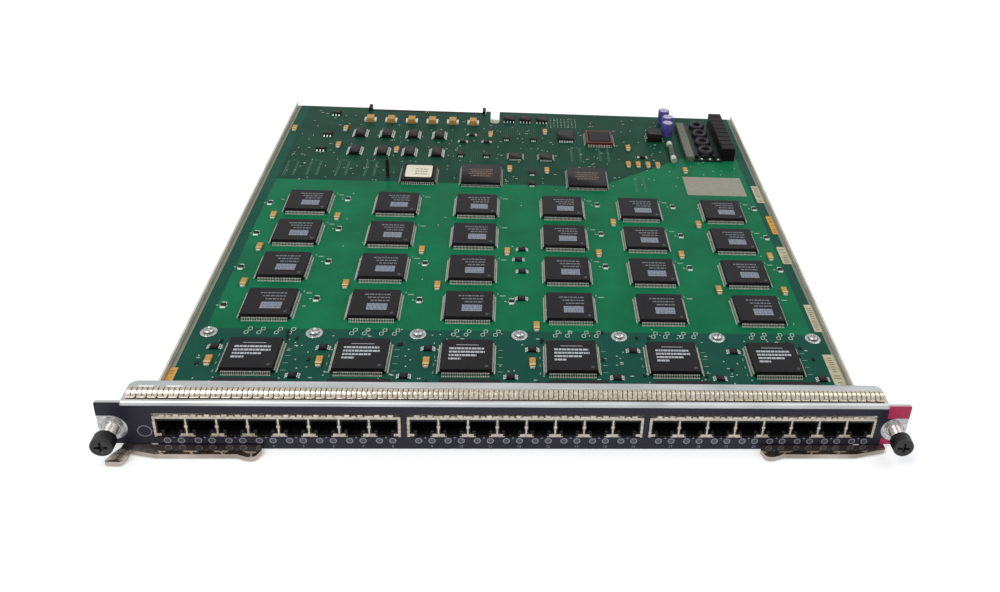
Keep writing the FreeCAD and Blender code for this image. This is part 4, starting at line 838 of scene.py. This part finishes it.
def flat_marks(rows):
    """Thin slabs on a level surface: rows of (x, y, z, width, depth) in metres."""
    rows = np.asarray(rows, float)
    unit = moulded(1.0, 1.0, 0.02, [(0, 0), (0, 1.0)], [(0, 0, 0)], per=2)
    scale = places_at(rows[:, 3], rows[:, 4], MARK)
    return unit * scale[:, None, None] + rows[:, None, None, :3]


def dashes(x, y, z, width, height, gap=0.5):
    """A line of print as dashes of 0.8 to 2.6 mm with gaps in millimetres, filling a width from the left."""
    out, run = [], 0.0
    while run < width / MM:
        long = min(float(rng.uniform(0.8, 2.6)), width / MM - run)
        out.append((x - width / 2 + (run + long / 2) * MM, y, z, long * MM, height))
        run += long + gap
    return out


def upper_middle(box):
    """Middle of a box's upper face."""
    return (box[0, 0] + box[1, 0]) / 2, (box[0, 1] + box[1, 1]) / 2, box[1, 2]


marks, blocks, front_marks = [], [], []
for box in chip_rows:
    cx, cy, top = upper_middle(box)
    for i in range(3):
        marks += dashes(cx + (1.1 + 0.9 * i) * MM, cy + (7.6 - 3.0 * i) * MM, top, (14.6 - 2.0 * i) * MM,
                        1.0 * MM)
    for i in range(4):
        blocks += dashes(cx + 1.9 * MM, cy + (-1.9 - 1.6 * i) * MM, top, 11.4 * MM, 1.35 * MM, gap=0.16)
for box in front_row:
    cx, cy, top = upper_middle(box)
    front_marks.append((cx, cy + 7.8 * MM, top, 12.0 * MM, 0.4 * MM))
    for i, long in enumerate((18.5, 19.0, 14.7, 6.5)):
        front_marks += dashes(cx + (long / 2 - 9.5) * MM, cy + (4.7 - 2.9 * i) * MM, top, long * MM, 1.5 * MM,
                              gap=0.3)
show("chip_marks", flat_marks(marks), chip_ink, "chip_mould", smooth=False)
show("chip_mark_blocks", flat_marks(blocks), block_ink, "chip_mould", smooth=False)
show("front_chip_marks", flat_marks(front_marks), white_ink, "chip_mould", smooth=False)

# pin-one dimples, near the front right corner of each package
DIMPLE_INSET = 3.0 * MM
dimple_places = places_at(all_chips[:, 1, 0] - DIMPLE_INSET, all_chips[:, 0, 1] + DIMPLE_INSET,
                          all_chips[:, 1, 2])
show("pin_one_dimples", turned(mm((0.95, 0), (0.95, 0.01), (0.7, 0.02)), 12, dimple_places),
     surface("polished epoxy dimple", "#2a2a2c", "#38383a", (0.2, 0.3), 1.0), "chip_mould")

# magnetics: long black filter modules in a row behind the jacks, mostly under the flange
magnetic_boxes = solids("magnetics")
show("filter_modules", chip_bodies(magnetic_boxes, 0.5, 0.6),
     surface("black moulded epoxy module", "#131213", "#1d1c1d", (0.3, 0.42), 2.0, ior=1.25, bump=0.01),
     "ferrite_case", "magnetics")
show("filter_pins", np.concatenate([gull_wings(box, 1.6, 1.5, (1, 3), 0.6) for box in magnetic_boxes]),
     solder_tin, "lead_metal", smooth=False)


# ---- Small chips and controllers ----
# Dual-row packages and quad packs of the rear half: the same black epoxy, silver gull-wing leads.
# two small circuits, left of and behind these lines, are stouter and have three broad legs in front
STOUT_X, STOUT_Y = -140 * MM, 290 * MM
wet_solder = surface("bright solder fillet", "#c6cac4", "#e4e7e2", (0.2, 0.35), 0.8, metallic=0.2)
for node_name, label, sides, pitch, reach in (
    ("small_circuits", "small_circuit", (0, 2), 1.27, 1.5),
    ("driver_chips", "driver", (0, 2), 1.27, 2.0),
    ("controllers", "controller", (0, 1, 2, 3), 0.9, 1.4),
    ("small_outline_chips", "small_outline", (1, 3), 1.27, 1.1),
    ("power_transistors", "power_switch", (3,), 2.5, 1.6),
):
    boxes = solids(node_name)
    stout = (boxes[:, 0, 0] < STOUT_X) & (boxes[:, 0, 1] > STOUT_Y) & (label == "small_circuit")
    boxes[stout, 0, :2] -= np.array([1.2, 0.5]) * MM
    boxes[stout, 1] += np.array([1.2, 0.5, 0.5]) * MM
    sizes = np.round((boxes[:, 1] - boxes[:, 0]) / MM, 1)
    grids = [chip_bodies(boxes[(sizes == size).all(axis=1)], 0.18, 0.2) for size in np.unique(sizes, axis=0)]
    lead_width = 0.42 + 0.4 * (pitch > 1)
    wings = [gull_wings(box, pitch, reach, sides, lead_width, margin=0.6) for box in boxes[~stout]]
    wings += [gull_wings(box, 2.3, 2.4, (3,), width=1.1, margin=0.8) for box in boxes[stout]]
    show(label + "_bodies", np.concatenate(grids), chip_epoxy, "chip_mould", node_name)
    show(label + "_pins", np.concatenate(wings), solder_tin if label == "controller" else wet_solder,
         "lead_metal", smooth=False)

# brown print on the two large controllers, and bright tabs behind the power switches
brown_marks = []
for box in [box for box in solids("controllers") if box[1, 0] - box[0, 0] > 20 * MM]:
    cx, cy, top = upper_middle(box)
    for i in range(4):
        brown_marks += dashes(cx, cy + (5.5 - 3.2 * i) * MM, top, (17.0 - 2.5 * (i % 2)) * MM, 1.3 * MM)
show("controller_marks", flat_marks(brown_marks),
     surface("brown printed mark", "#6a5142", "#806450", (0.5, 0.6), 0.8), "chip_mould", smooth=False)

switches = solids("power_transistors")
tab_places = places_at(switches[:, :, 0].mean(1), switches[:, 1, 1] + 0.9 * MM, BOARD_TOP)
show("power_switch_tabs",
     moulded(6.4 * MM, 1.8 * MM, 0.3 * MM, mm((0, 0), (0, 0.5), (0.15, 0.62)), tab_places), solder_tin,
     "lead_metal")


# ---- Sockets ----
# Square chip carriers in moulded frames: the black one on the left holds a chip under a cream
# paper label, the other, red-brown, holds a bare chip. Bright contacts show along their sides.
socket_brown = surface("red-brown moulded polyester", "#4a2019", "#5f2d24", (0.4, 0.55), 1.2, ior=1.35,
                       bump=0.01)
socket_boxes = solids("chip_sockets")
socket_boxes = socket_boxes[np.argsort(socket_boxes[:, 0, 0])]
SOCKET_RIM = 1.9 * MM
kinds = (("black", chip_epoxy, ("chip_sockets",)), ("brown", socket_brown, ()))
for box, (label, material, replaced) in zip(socket_boxes, kinds):
    size = box[1] - box[0]
    rim = [(0.1 * MM, 0), (0, 0.2 * MM), (0, size[2] - 0.3 * MM), (0.3 * MM, size[2]), (SOCKET_RIM, size[2]),
           (SOCKET_RIM, 1.0 * MM)]
    show("socket_" + label, moulded(size[0], size[1], 0.9 * MM, rim, seats(box[None])), material,
         "socket_mould", *replaced)
show("socket_contacts", np.concatenate([gull_wings(box, 1.27, 1.5, width=0.6) for box in socket_boxes]),
     solder_tin, "lead_metal", smooth=False)
carried = solids("socketed_chips")
show("carried_chips", np.concatenate([chip_bodies(carried[i:i + 1], 0.3, 0.8) for i in range(len(carried))]),
     chip_epoxy, "chip_mould", "socketed_chips")
cream = surface("cream label paper", "#d9d2b8", "#ebe5cf", (0.6, 0.7), 1.0)
left_chip = carried[np.argmin(carried[:, 0, 0])]
label_x, label_y, label_z = upper_middle(left_chip)
show("carrier_label", moulded(18.6 * MM, 18.2 * MM, 1.6 * MM, mm((0, 0), (0, 0.08), (0.05, 0.1)),
                              [(label_x, label_y, label_z)]), cream, "label_paper")
label_lines = []
for i in range(3):
    label_lines += dashes(label_x + 2.0 * MM, label_y + (3.0 - 3.6 * i) * MM, label_z + 0.1 * MM, 9.0 * MM,
                          1.0 * MM)
show("carrier_label_print", flat_marks(label_lines),
     surface("black printer ink", "#2b2926", "#3a3834", (0.5, 0.6), 0.8), "label_paper", smooth=False)


# ---- Tantalum capacitors ----
# Small moulded blocks, yellow-orange with a pale stripe at the plus end and folded tin ends. Those
# by the connector lie sideways and are narrower, deeper and taller than their packed blocks.
tantalum = surface("yellow-orange moulded epoxy", "#ad8038", "#c6984a", (0.35, 0.5), 1.0, ior=1.35,
                   bump=0.008)
stripe_white = surface("pale printed stripe", "#cdb98c", "#dccaa0", (0.5, 0.6), 0.8)
for node_name, material_slot in (("chip_capacitors", "tantalum_case"), ("rear_capacitors", "tantalum_case"),
                                 ("connector_capacitors", "connector_capacitor_case")):
    boxes = solids(node_name)
    size = boxes[0, 1] - boxes[0, 0]
    middle = boxes.mean(1)
    sideways = node_name == "connector_capacitors"
    inset = (0.85 if sideways else 0.3) * MM
    boxes[:, 0, 0] += inset
    boxes[:, 1, 0] -= inset
    if sideways:
        boxes[:, 0, 1] -= 0.4 * MM
        boxes[:, 1, 2] += 0.9 * MM
    show(node_name + "_bodies", chip_bodies(boxes, 0.15, 0.25), tantalum, material_slot, node_name)
    axis = 0 if sideways else 1
    ends = []
    for sign in (-1, 1):
        place = middle.copy()
        place[:, axis] += sign * size[axis] / 2
        place[:, 2] = BOARD_TOP + 0.02 * MM
        ends.append(place)
    width, depth = (1.9 * MM, size[1] * 0.8) if sideways else (size[0] * 0.6, 1.6 * MM)
    show(node_name + "_ends",
         moulded(width, depth, 0.1 * MM, [(0, 0), (0, size[2] * 0.55), (0.1 * MM, size[2] * 0.6)],
                 np.concatenate(ends)), wet_solder, "lead_metal")
    if not sideways:
        bars_flat = np.stack([middle[:, 0], boxes[:, 0, 1] + 0.95 * MM, boxes[:, 1, 2],
                              np.full(len(boxes), size[0] - 0.9 * MM), np.full(len(boxes), 0.9 * MM)], -1)
        show(node_name + "_stripes", flat_marks(bars_flat), stripe_white, material_slot, smooth=False)


# ---- Two-pad parts and their surrounds ----
# Small dark chip parts lying front to back on two tinned pads, with a mark of white screen print
# at either side.
pads = solids("two_pad_parts")
pad_middle = pads.mean(1)
silk = surface("white silkscreen ink", "#b9c4b6", "#d5ddd0", (0.55, 0.65), 0.8)
side_marks = [(x + s * 1.9 * MM, y - 0.2 * MM, BOARD_TOP, 0.35 * MM, 1.6 * MM)
              for x, y in pad_middle[:, :2] for s in (-1, 1)]
side_marks += [(x - 3.6 * MM, y + 0.3 * MM, BOARD_TOP, 1.2 * MM, 0.5 * MM) for x, y in pad_middle[:, :2]]
show("two_pad_surrounds", flat_marks(side_marks), silk, "ceramic", "two_pad_parts", smooth=False)
part_places = over_board(pad_middle)
show("two_pad_bodies", moulded(2.6 * MM, 2.8 * MM, 0.1 * MM, mm((0, 0), (0, 0.95), (0.1, 1.1)), part_places),
     chip_epoxy, "ceramic")
pad_ends = np.concatenate([part_places + np.array([0, s * 2.0 * MM, 0]) for s in (-1, 1)])
show("two_pad_ends", moulded(2.9 * MM, 1.7 * MM, 0.1 * MM, mm((0, 0), (0, 0.4), (0.2, 0.62)), pad_ends),
     wet_solder, "lead_metal")


# ---- Electrolytic cans, inductor, fuse and test post ----
# Cans: aluminium in a shrunk purple sleeve, the bare top scored with a cross. Inductor: a ferrite
# block. Fuse: a glass tube filled with grey sand, with tinned end caps. Test post: an insulated
# black pin.
def upright(node_name):
    """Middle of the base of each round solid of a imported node, and the radius and height of the first."""
    boxes = solids(node_name)
    return seats(boxes), (boxes[0, 1, 0] - boxes[0, 0, 0]) / 2, boxes[0, 1, 2] - boxes[0, 0, 2]


can_base, can_radius, can_height = upright("capacitor_cans")
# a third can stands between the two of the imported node, a little to their right
can_base = np.concatenate([can_base, [can_base.mean(0) + np.array([1.4, -0.5, 0]) * MM]])
sleeve_profile = [(can_radius - 0.5 * MM, 0), (can_radius - 0.1 * MM, 0.3 * MM),
                  (can_radius - 0.1 * MM, 1.2 * MM), (can_radius - 0.45 * MM, 1.7 * MM),
                  (can_radius, 2.2 * MM), (can_radius, can_height - 0.6 * MM),
                  (can_radius - 0.3 * MM, can_height - 0.15 * MM),
                  (can_radius - 0.9 * MM, can_height - 0.15 * MM),
                  (can_radius - 1.0 * MM, can_height - 0.6 * MM)]
show("can_sleeves", turned(sleeve_profile, 36, can_base),
     surface("purple shrink sleeve", "#3d3474", "#57499c", (0.25, 0.35), 3.0, ior=1.4), "can_sleeve",
     "capacitor_cans")
lid_profile = [(can_radius - 0.95 * MM, -0.5 * MM), (can_radius - 0.95 * MM, -0.12 * MM),
               (0.05 * MM, -0.1 * MM)]
lid_places = can_base + np.array([0, 0, can_height])
show("can_tops", turned(lid_profile, 36, lid_places),
     surface("bare aluminium can top", "#a7a4bd", "#c4c0d8", (0.3, 0.45), 1.5, metallic=0.5,
             stretch=(0.2, 1, 1)), "can_sleeve")
# the scored cross on each top: flat marks, painted dark as the shade inside the grooves
score = [(x, y, z - 0.1 * MM, w * MM, d * MM)
         for x, y, z in lid_places for w, d in ((5.6, 0.25), (0.25, 5.6))]
show("can_scores", flat_marks(score), surface("scored groove painted dark as shade", "#55575a", "#6a6c6f", (0.5, 0.6), 0.5),
     "can_sleeve", smooth=False)

inductor_box = solids("inductor")
show("ferrite_block", chip_bodies(inductor_box, 0.5, 1.6),
     surface("dark moulded ferrite", "#0f0f0f", "#191919", (0.4, 0.55), 1.0, ior=1.3, bump=0.02),
     "inductor_case", "inductor")
show("ferrite_block_pins", gull_wings(inductor_box[0], 3.6, 1.2, (0, 2), 1.8, 0.3), solder_tin, "lead_metal",
     smooth=False)

fuse_box = solids("fuse")[0]
fuse_radius = (fuse_box[1, 2] - fuse_box[0, 2]) / 2
fuse_length = fuse_box[1, 1] - fuse_box[0, 1]
tube = [(fuse_radius * 0.86, 0.4 * MM), (fuse_radius * 0.92, 0.5 * MM),
        (fuse_radius * 0.92, fuse_length - 0.5 * MM), (fuse_radius * 0.9, fuse_length - 0.4 * MM)]
fuse_start = (fuse_box[:, 0].mean(), fuse_box[1, 1], fuse_box[:, 2].mean())
show("fuse_tube", turned(tube, 24, [fuse_start], FORWARD),
     surface("grey-green glass tube", "#2f352f", "#545a50", (0.1, 0.2), 2.5, ior=1.35), "fuse_tube", "fuse")
cap_profile = np.array([(fuse_radius * 0.6, 0), (fuse_radius - 0.15 * MM, 0), (fuse_radius, 0.2 * MM),
                        (fuse_radius, 5.2 * MM), (fuse_radius * 0.9, 5.4 * MM)])
far_cap = cap_profile[::-1] * np.array([1, -1]) + np.array([0, fuse_length])
show("fuse_caps",
     np.concatenate([turned(cap_profile, 24, [fuse_start], FORWARD),
                     turned(far_cap, 24, [fuse_start], FORWARD)]), solder_tin, "lead_metal")

post_base, _, post_height = upright("test_post")
post_profile = [(1.6 * MM, 0), (1.6 * MM, 0.7 * MM), (1.25 * MM, 1.0 * MM),
                (1.25 * MM, post_height - 2.2 * MM), (0.85 * MM, post_height - 1.8 * MM),
                (0.85 * MM, post_height - 0.3 * MM), (0.6 * MM, post_height)]
show("test_post_turned", turned(post_profile, 20, post_base),
     surface("black nylon post", "#15120e", "#241f18", (0.35, 0.5), 0.8, ior=1.35), "post_plastic",
     "test_post")


# ---- Power converter ----
# A small module: a beige insulating strip, four toroids wound with dark enamelled wire and a tall
# black potted block with fine grooves.
strip_boxes = solids("converter_strip")
show("converter_strip_moulding",
     np.concatenate([chip_bodies(strip_boxes[i:i + 1], 0.3, 0.5) for i in range(len(strip_boxes))]),
     surface("beige moulded nylon", "#4f5242", "#6d6f5d", (0.45, 0.6), 2.5, ior=1.4, bump=0.01),
     "strip_mould", "converter_strip")

coil_base, coil_radius, coil_height = upright("converter_coils")
WINDINGS = 26
SWELL = 0.35 * MM


def wound_ring(radius, bore, height):
    """Torus of oval section whose surface swells by SWELL times |cos| of half of WINDINGS turns.

    Ring i stands at the angle a round the axis; point j goes round the section at the angle b.
    """
    a = (2 * np.pi * np.arange(WINDINGS * 6) / (WINDINGS * 6))[:, None]
    b = (2 * np.pi * np.arange(12) / 12)[None, ::-1]
    swell = SWELL * np.abs(np.cos(WINDINGS * a / 2))
    mid, half = (radius + bore) / 2, (radius - bore) / 2 - SWELL
    r = mid + (half + swell) * np.cos(b)
    z = height / 2 + (height / 2 - SWELL + swell) * np.sin(b)
    return places_at(r * np.cos(a), r * np.sin(a), z)


coil = wound_ring(coil_radius, 2.6 * MM, coil_height)
enamel = surface("dark enamelled copper winding", "#15121a", "#2a2630", (0.2, 0.35), 0.8, ior=1.4)
show("wound_toroids", coil[None] + coil_base[:, None, None], enamel, "coil_core", "converter_coils",
     loop=True)

block_box = solids("converter_block")[0]
block_size = block_box[1] - block_box[0]
BLOCK_FINS = 9
fin_depth = block_size[1] / BLOCK_FINS
fin_y = block_box[0, 1] + fin_depth * (np.arange(BLOCK_FINS) + 0.5)
fin_places = places_at(block_box[:, 0].mean(), fin_y, block_box[0, 2] + 1.5 * MM)
fin_profile = [(0, 0), (0, block_size[2] - 2.0 * MM), (0.4 * MM, block_size[2] - 1.5 * MM)]
block_low = moulded(block_size[0], block_size[1], 0.5 * MM,
                    [(0.2 * MM, 0), (0, 0.2 * MM), (0, block_size[2] - 2.2 * MM),
                     (0.4 * MM, block_size[2] - 2.0 * MM)], seats(block_box[None]))
potting = surface("black potted heat sink", "#0d0a0c", "#1a1518", (0.4, 0.55), 1.2, ior=1.2, bump=0.01)
show("converter_block_case", block_low, potting, "block_case", "converter_block")
show("converter_block_fins",
     moulded(block_size[0] - 0.2 * MM, fin_depth - 0.5 * MM, 0.2 * MM, fin_profile, fin_places), potting,
     "block_case")

# the module's own dark board between the strip and the block, with solder spots and small parts
module_x = np.array([strip_boxes[:, 0, 0].min(), block_box[0, 0] + 0.5 * MM])
module_y = np.array([strip_boxes[:, 0, 1].min() + 0.3 * MM, strip_boxes[:, 1, 1].max() - 0.3 * MM])
module_middle = (module_x.mean(), module_y.mean(), BOARD_TOP)
module_laminate = surface("dark green module laminate", "#101a17", "#1d2a24", (0.35, 0.5), 5.0, ior=1.3)
show("converter_board",
     moulded(np.ptp(module_x), np.ptp(module_y), 0.4 * MM, mm((0, 0.2), (0, 1.5), (0.05, 1.6)),
             [module_middle]), module_laminate, "board_laminate")
MODULE_TOP = BOARD_TOP + 1.6 * MM


def module_row(left, right, front, count):
    """Places in a row over the module's board, given its distances from three edges in millimetres."""
    xs = np.linspace(module_x[0] + left * MM, module_x[1] - right * MM, count)
    return [(x, module_y[0] + front * MM, MODULE_TOP) for x in xs]


edge_y = np.linspace(module_y[0] + 2 * MM, module_y[1] - 3 * MM, 13)
solder_spots = [(module_x[0] + 4.6 * MM, y, MODULE_TOP) for y in edge_y]
solder_spots += module_row(6, 3, 1.4, 4) + module_row(7, 5, 8.5, 3)
show("converter_solder",
     moulded(1.7 * MM, 1.3 * MM, 0.4 * MM, mm((0, 0), (0, 0.35), (0.3, 0.6)), solder_spots), wet_solder,
     "lead_metal")
show("converter_small_parts",
     moulded(4.6 * MM, 3.6 * MM, 0.3 * MM, mm((0, 0), (0, 2.0), (0.3, 2.3)), module_row(8, 5, 4.6, 3)),
     chip_epoxy, "chip_mould")


# ---- Backplane connector ----
# A dark glass-filled moulding set in the board's back edge, with an end post at each side and two
# rows of gold-plated tails along the top.
connector_mould = surface("dark grey-brown glass-filled moulding", "#100f0d", "#1f1d19", (0.45, 0.6), 2.0,
                          ior=1.2, bump=0.012)
coat("backplane_connector", connector_mould)
gold = surface("dull gold plating", "#8b8069", "#b5a986", (0.3, 0.4), 0.8, metallic=0.8)
pin_boxes = solids("connector_pins")
pin_height = pin_boxes[0, 1, 2] - pin_boxes[0, 0, 2]
tail_steps = [np.array([dx * MM, dy * MM, 0]) for dx in (-0.95, 0.95) for dy in (-0.45, 0.45)]
tail_places = np.concatenate([seats(pin_boxes) + step for step in tail_steps])
show("connector_tails",
     moulded(0.75 * MM, 0.7 * MM, 0.15 * MM, [(0, 0), (0, pin_height - 0.2 * MM), (0.2 * MM, pin_height)],
             tail_places, per=2), gold, "contact_metal", "connector_pins", smooth=False)


# ---- Labels and the bare pad ----
# Plain paper labels stuck along the board's right edge and near its left front corner, and one
# bare tinned pad; any print on them is left as plain dashes.
label_boxes = solids("plain_labels")
aged_cream = surface("aged cream label paper", "#aca486", "#c4bc9e", (0.55, 0.65), 3.0, ior=1.4)
amber = surface("amber label film", "#c88a22", "#dd9f35", (0.4, 0.5), 1.5, ior=1.35)
orange_paper = surface("orange label paper", "#c08430", "#dba24c", (0.5, 0.6), 1.4)
pad_grey = surface("matt grey tinned copper", "#8b887b", "#9b988b", (0.5, 0.6), 1.2, ior=1.3, bump=0.004)
label_size = label_boxes[:, 1] - label_boxes[:, 0]
right_edge = np.flatnonzero((label_boxes[:, 0, 0] > 0) & (label_size[:, 0] < 12 * MM))
right_edge = right_edge[np.argsort(label_boxes[right_edge, 0, 1])]
# the last label but one along the edge is amber
LINE_PITCH = 1.9                    # millimetres from one dash of print to the next
paper_print = []
for i, box in enumerate(label_boxes):
    size = box[1] - box[0]
    if size[0] > 20 * MM:
        name, sheet = "bare_pad", pad_grey
    elif box[0, 0] < 0:
        name, sheet = "corner_label", orange_paper
    elif i == right_edge[-2]:
        name, sheet = "edge_label_amber", amber
    else:
        name, sheet = "edge_label_" + str(i), aged_cream
    grid = moulded(size[0], size[1], 0.4 * MM, [(0, 0), (0, size[2] * 0.7), (0.05 * MM, size[2])],
                   seats(box[None]))
    replaced = ("plain_labels",) if name == "bare_pad" else ()
    show(name, grid, sheet, "label_paper", *replaced)
    if name != "bare_pad":
        for k in range(1, int(size[1] / MM / LINE_PITCH)):
            if rng.random() < 0.75:
                paper_print.append((box[:, 0].mean(), box[0, 1] + LINE_PITCH * k * MM, box[1, 2],
                                    size[0] * float(rng.uniform(0.35, 0.6)), 0.7 * MM))
show("label_dashes", flat_marks(paper_print),
     surface("faded brown printer ink", "#5a4a38", "#6e5c48", (0.5, 0.6), 0.8), "label_paper", smooth=False)


# ---- Board screws and washers ----
# Pan-head machine screws, bright zinc plated with a cross recess, each on a toothed lock washer.
screw_boxes = solids("board_screws")
washer_boxes = solids("screw_washers")
washer_top = washer_boxes[0, 1, 2]
head_radius = (screw_boxes[0, 1, 0] - screw_boxes[0, 0, 0]) / 2
head_height = screw_boxes[0, 1, 2] - washer_top
SLOT = (1.6, 0.4, 0.8)


def pan_head(radius, height, points=32):
    """Domed head: height times the square root of 1 - (r / radius) to the power 3, less the recess.

    The recess is a cross of two bars whose half length, half width and depth are SLOT, in millimetres.
    """
    share = np.concatenate([[0.98, 1.0, 0.97, 0.9, 0.8, 0.7], np.linspace(0.6, 0.02, 10)])
    lift = np.concatenate([[0.0, 0.25, 0.55], np.sqrt(1 - share[3:] ** 3)])
    angle = 2 * np.pi * np.arange(points) / points
    r = (share * radius)[:, None]
    x, y = r * np.cos(angle), r * np.sin(angle)
    arm = cross_arms(x, y, SLOT[0], SLOT[1]) / MM
    recess = np.clip((1.2 - arm) / 0.25, 0, 1) * (share < 0.85)[:, None]
    z = np.clip(lift, 0, 1)[:, None] * height - SLOT[2] * MM * recess
    return places_at(x, y, z)


head_places = over_board(screw_boxes.mean(1), washer_top)
screw_zinc = surface("bright zinc-plated screw", "#8f9291", "#c4c7c5", (0.16, 0.3), 1.2, metallic=1.0,
                     bump=0.004)
show("pan_head_screws", pan_head(head_radius, head_height)[None] + head_places[:, None, None], screw_zinc,
     "screw_steel", "board_screws")

washer_radius = (washer_boxes[0, 1, 0] - washer_boxes[0, 0, 0]) / 2
TEETH = 16
TOOTH_POINTS = TEETH * 4
tooth_angle = 2 * np.pi * np.arange(TOOTH_POINTS) / TOOTH_POINTS
tooth = np.array([0, 0, 0, 1, 1])[:, None] * np.cos(TEETH * tooth_angle)[None] * 0.12 * MM
washer_profile = np.array([(1.8 * MM, 0), (washer_radius, 0), (washer_radius, 0.25 * MM),
                           (washer_radius - 0.2 * MM, 0.42 * MM), (2.0 * MM, 0.5 * MM)])
washer_grid = turned(washer_profile, TOOTH_POINTS, [(0, 0, 0)])[0]
washer_grid[..., 2] += np.clip(tooth, -0.1 * MM, 0)
washer_places = over_board(screw_boxes.mean(1))
show("lock_washers", washer_grid[None] + washer_places[:, None, None], screw_zinc, "washer_steel",
     "screw_washers", loop=True)


# ---- Silkscreen, pads and vias ----
# White screen print and small tinned spots on the mask: ticks beside the packages, outlines of
# parts that were never fitted, loops behind the front chips and a cluster of test points.
silk_rows = []      # x, y, z, width and depth of each mark
for box in chip_rows:
    right, far = box[1, :2]
    silk_rows.append((right + 5.6 * MM, far + 0.4 * MM, BOARD_TOP, 3.4 * MM, 0.9 * MM))
    silk_rows.append((right + 2.6 * MM, far + 2.2 * MM, BOARD_TOP, 0.5 * MM, 1.6 * MM))
for box in front_row:
    left, right, near = box[0, 0], box[1, 0], box[0, 1]
    for k in range(4):
        silk_rows.append((right + 4.2 * MM, near + (3 + 6 * k) * MM, BOARD_TOP, 2.6 * MM, 0.3 * MM))
        silk_rows.append((left - 3.4 * MM, near + (2 + 6.5 * k) * MM, BOARD_TOP, 0.35 * MM, 2.2 * MM))
faint_silk = surface("thin silkscreen ink", "#7c9a88", "#98b3a3", (0.5, 0.6), 0.8, ior=1.3)
show("silkscreen_ticks", flat_marks(silk_rows), faint_silk, "board_laminate", smooth=False)

# pairs of small loops in a row between the board screws, in place of printed numbers
loop_places = [(box[:, 0].mean() + (x + 0.5 * y) * MM, box[1, 1] + (10.5 + y) * MM, BOARD_TOP)
               for box in front_row for x in (-7.4, -0.6, 8.6, 15.6) for y in (-1.6, 1.6)]
loop_section = [(0, 0), (0, MARK), (0.3 * MM, MARK), (0.3 * MM, 0)]
show("silkscreen_loops", moulded(2.3 * MM, 3.0 * MM, 0.9 * MM, loop_section, loop_places, per=4), silk,
     "board_laminate", smooth=False, loop=True)

worn_silk = surface("worn silkscreen ink over mask", "#2f5c4b", "#477562", (0.5, 0.6), 1.0, ior=1.3)
# pad rows of unfitted parts in the rear half: share of the board's half width, and millimetres
# from its back edge
BACK = board_high.y
HALF = board_high.x
EMPTY_SPOTS = ((-0.913, 109.5), (-0.823, 108.6), (-0.711, 107.4), (-0.599, 107.3), (0.247, 75.5),
               (0.369, 74.1), (0.498, 121.3))
empty_places = [(HALF * share, BACK - back * MM, BOARD_TOP) for share, back in EMPTY_SPOTS]
PIN_PITCH = 2.54 * MM
outline_rows = []
for x, y, z in empty_places:
    outline_rows.append((x, y + 12.6 * MM, z, 4.6 * MM, 0.7 * MM))
    for s in (-1, 1):
        outline_rows += [(x + s * 3.6 * MM, y + 10.8 * MM - PIN_PITCH * k, z, 0.9 * MM, 1.7 * MM)
                         for k in range(9)]
        outline_rows.append((x + s * 2.6 * MM, y, z, 0.3 * MM, 22.0 * MM))
show("unfitted_outlines", flat_marks(outline_rows), worn_silk, "board_laminate", smooth=False)

# tinned pads and test points, scattered with a fixed seed and kept clear of everything on the board
taken = [solids(name) for name in ("chip_row_1", "chip_row_2", "chip_row_3", "chip_row_4", "front_chips",
                                   "controllers", "chip_sockets", "driver_chips", "small_circuits",
                                   "plain_labels", "converter_strip", "converter_block", "converter_coils",
                                   "magnetics", "board_screws", "screw_washers", "capacitor_cans", "fuse",
                                   "inductor", "chip_capacitors", "rear_capacitors", "connector_capacitors",
                                   "two_pad_parts", "small_outline_chips", "power_transistors",
                                   "backplane_connector", "test_post")]
taken = np.concatenate(taken)[:, :, :2]
TRIES = 2600
SIDE_MARGIN, FRONT_MARGIN, REAR_MARGIN, ROOM = 11 * MM, 28 * MM, 8 * MM, 2.6 * MM
FRONT_SPOTS = FRONT_LINE + 0.5 * MM
REAR_SHARE, FRONT_SHARE, MIDDLE_SHARE = 0.5, 0.9, 0.03      # of the clear tries in each zone
tries = np.stack([rng.uniform(-HALF + SIDE_MARGIN, HALF - SIDE_MARGIN, TRIES),
                  rng.uniform(FRONT_MARGIN, BACK - REAR_MARGIN, TRIES)], -1)
before = tries[:, None] < taken[None, :, 0] - ROOM
beyond = tries[:, None] > taken[None, :, 1] + ROOM
clear = (before | beyond).any(axis=2).all(axis=1)
share = np.where(tries[:, 1] < FRONT_SPOTS, FRONT_SHARE, MIDDLE_SHARE)
share[tries[:, 1] > REAR_LINE] = REAR_SHARE
dense = rng.random(len(tries)) < share
spots = tries[clear & dense]
kind = rng.random(len(spots))
# each spot is a via below the first share, a tiny part below the second, a printed tick over the third
VIAS, TINY_PARTS, NAMES = 0.55, 0.75, 0.8
# a field of test points by the back edge
cluster_x, cluster_y = np.meshgrid(np.linspace(23, 46, 9) * MM, np.linspace(355, 370, 6) * MM)
via_places = np.concatenate([over_board(spots[kind < VIAS]),
                             places_at(cluster_x.ravel(), cluster_y.ravel(), BOARD_TOP)])
show("tinned_vias", turned(mm((0.42, 0), (0.42, 0.03), (0.2, 0.04)), 8, via_places), solder_tin,
     "contact_metal")
tiny_places = over_board(spots[(kind >= VIAS) & (kind < TINY_PARTS) & (spots[:, 1] < FRONT_SPOTS)])
show("tiny_parts", moulded(1.5 * MM, 2.4 * MM, 0.1 * MM, mm((0, 0), (0, 0.55), (0.1, 0.65)), tiny_places,
                           per=2), chip_epoxy, "ceramic", smooth=False)
tick_rows = [(x, y, BOARD_TOP, 1.9 * MM, 0.45 * MM) for x, y in spots[kind >= NAMES]]
show("silkscreen_names", flat_marks(tick_rows), silk, "board_laminate", smooth=False)
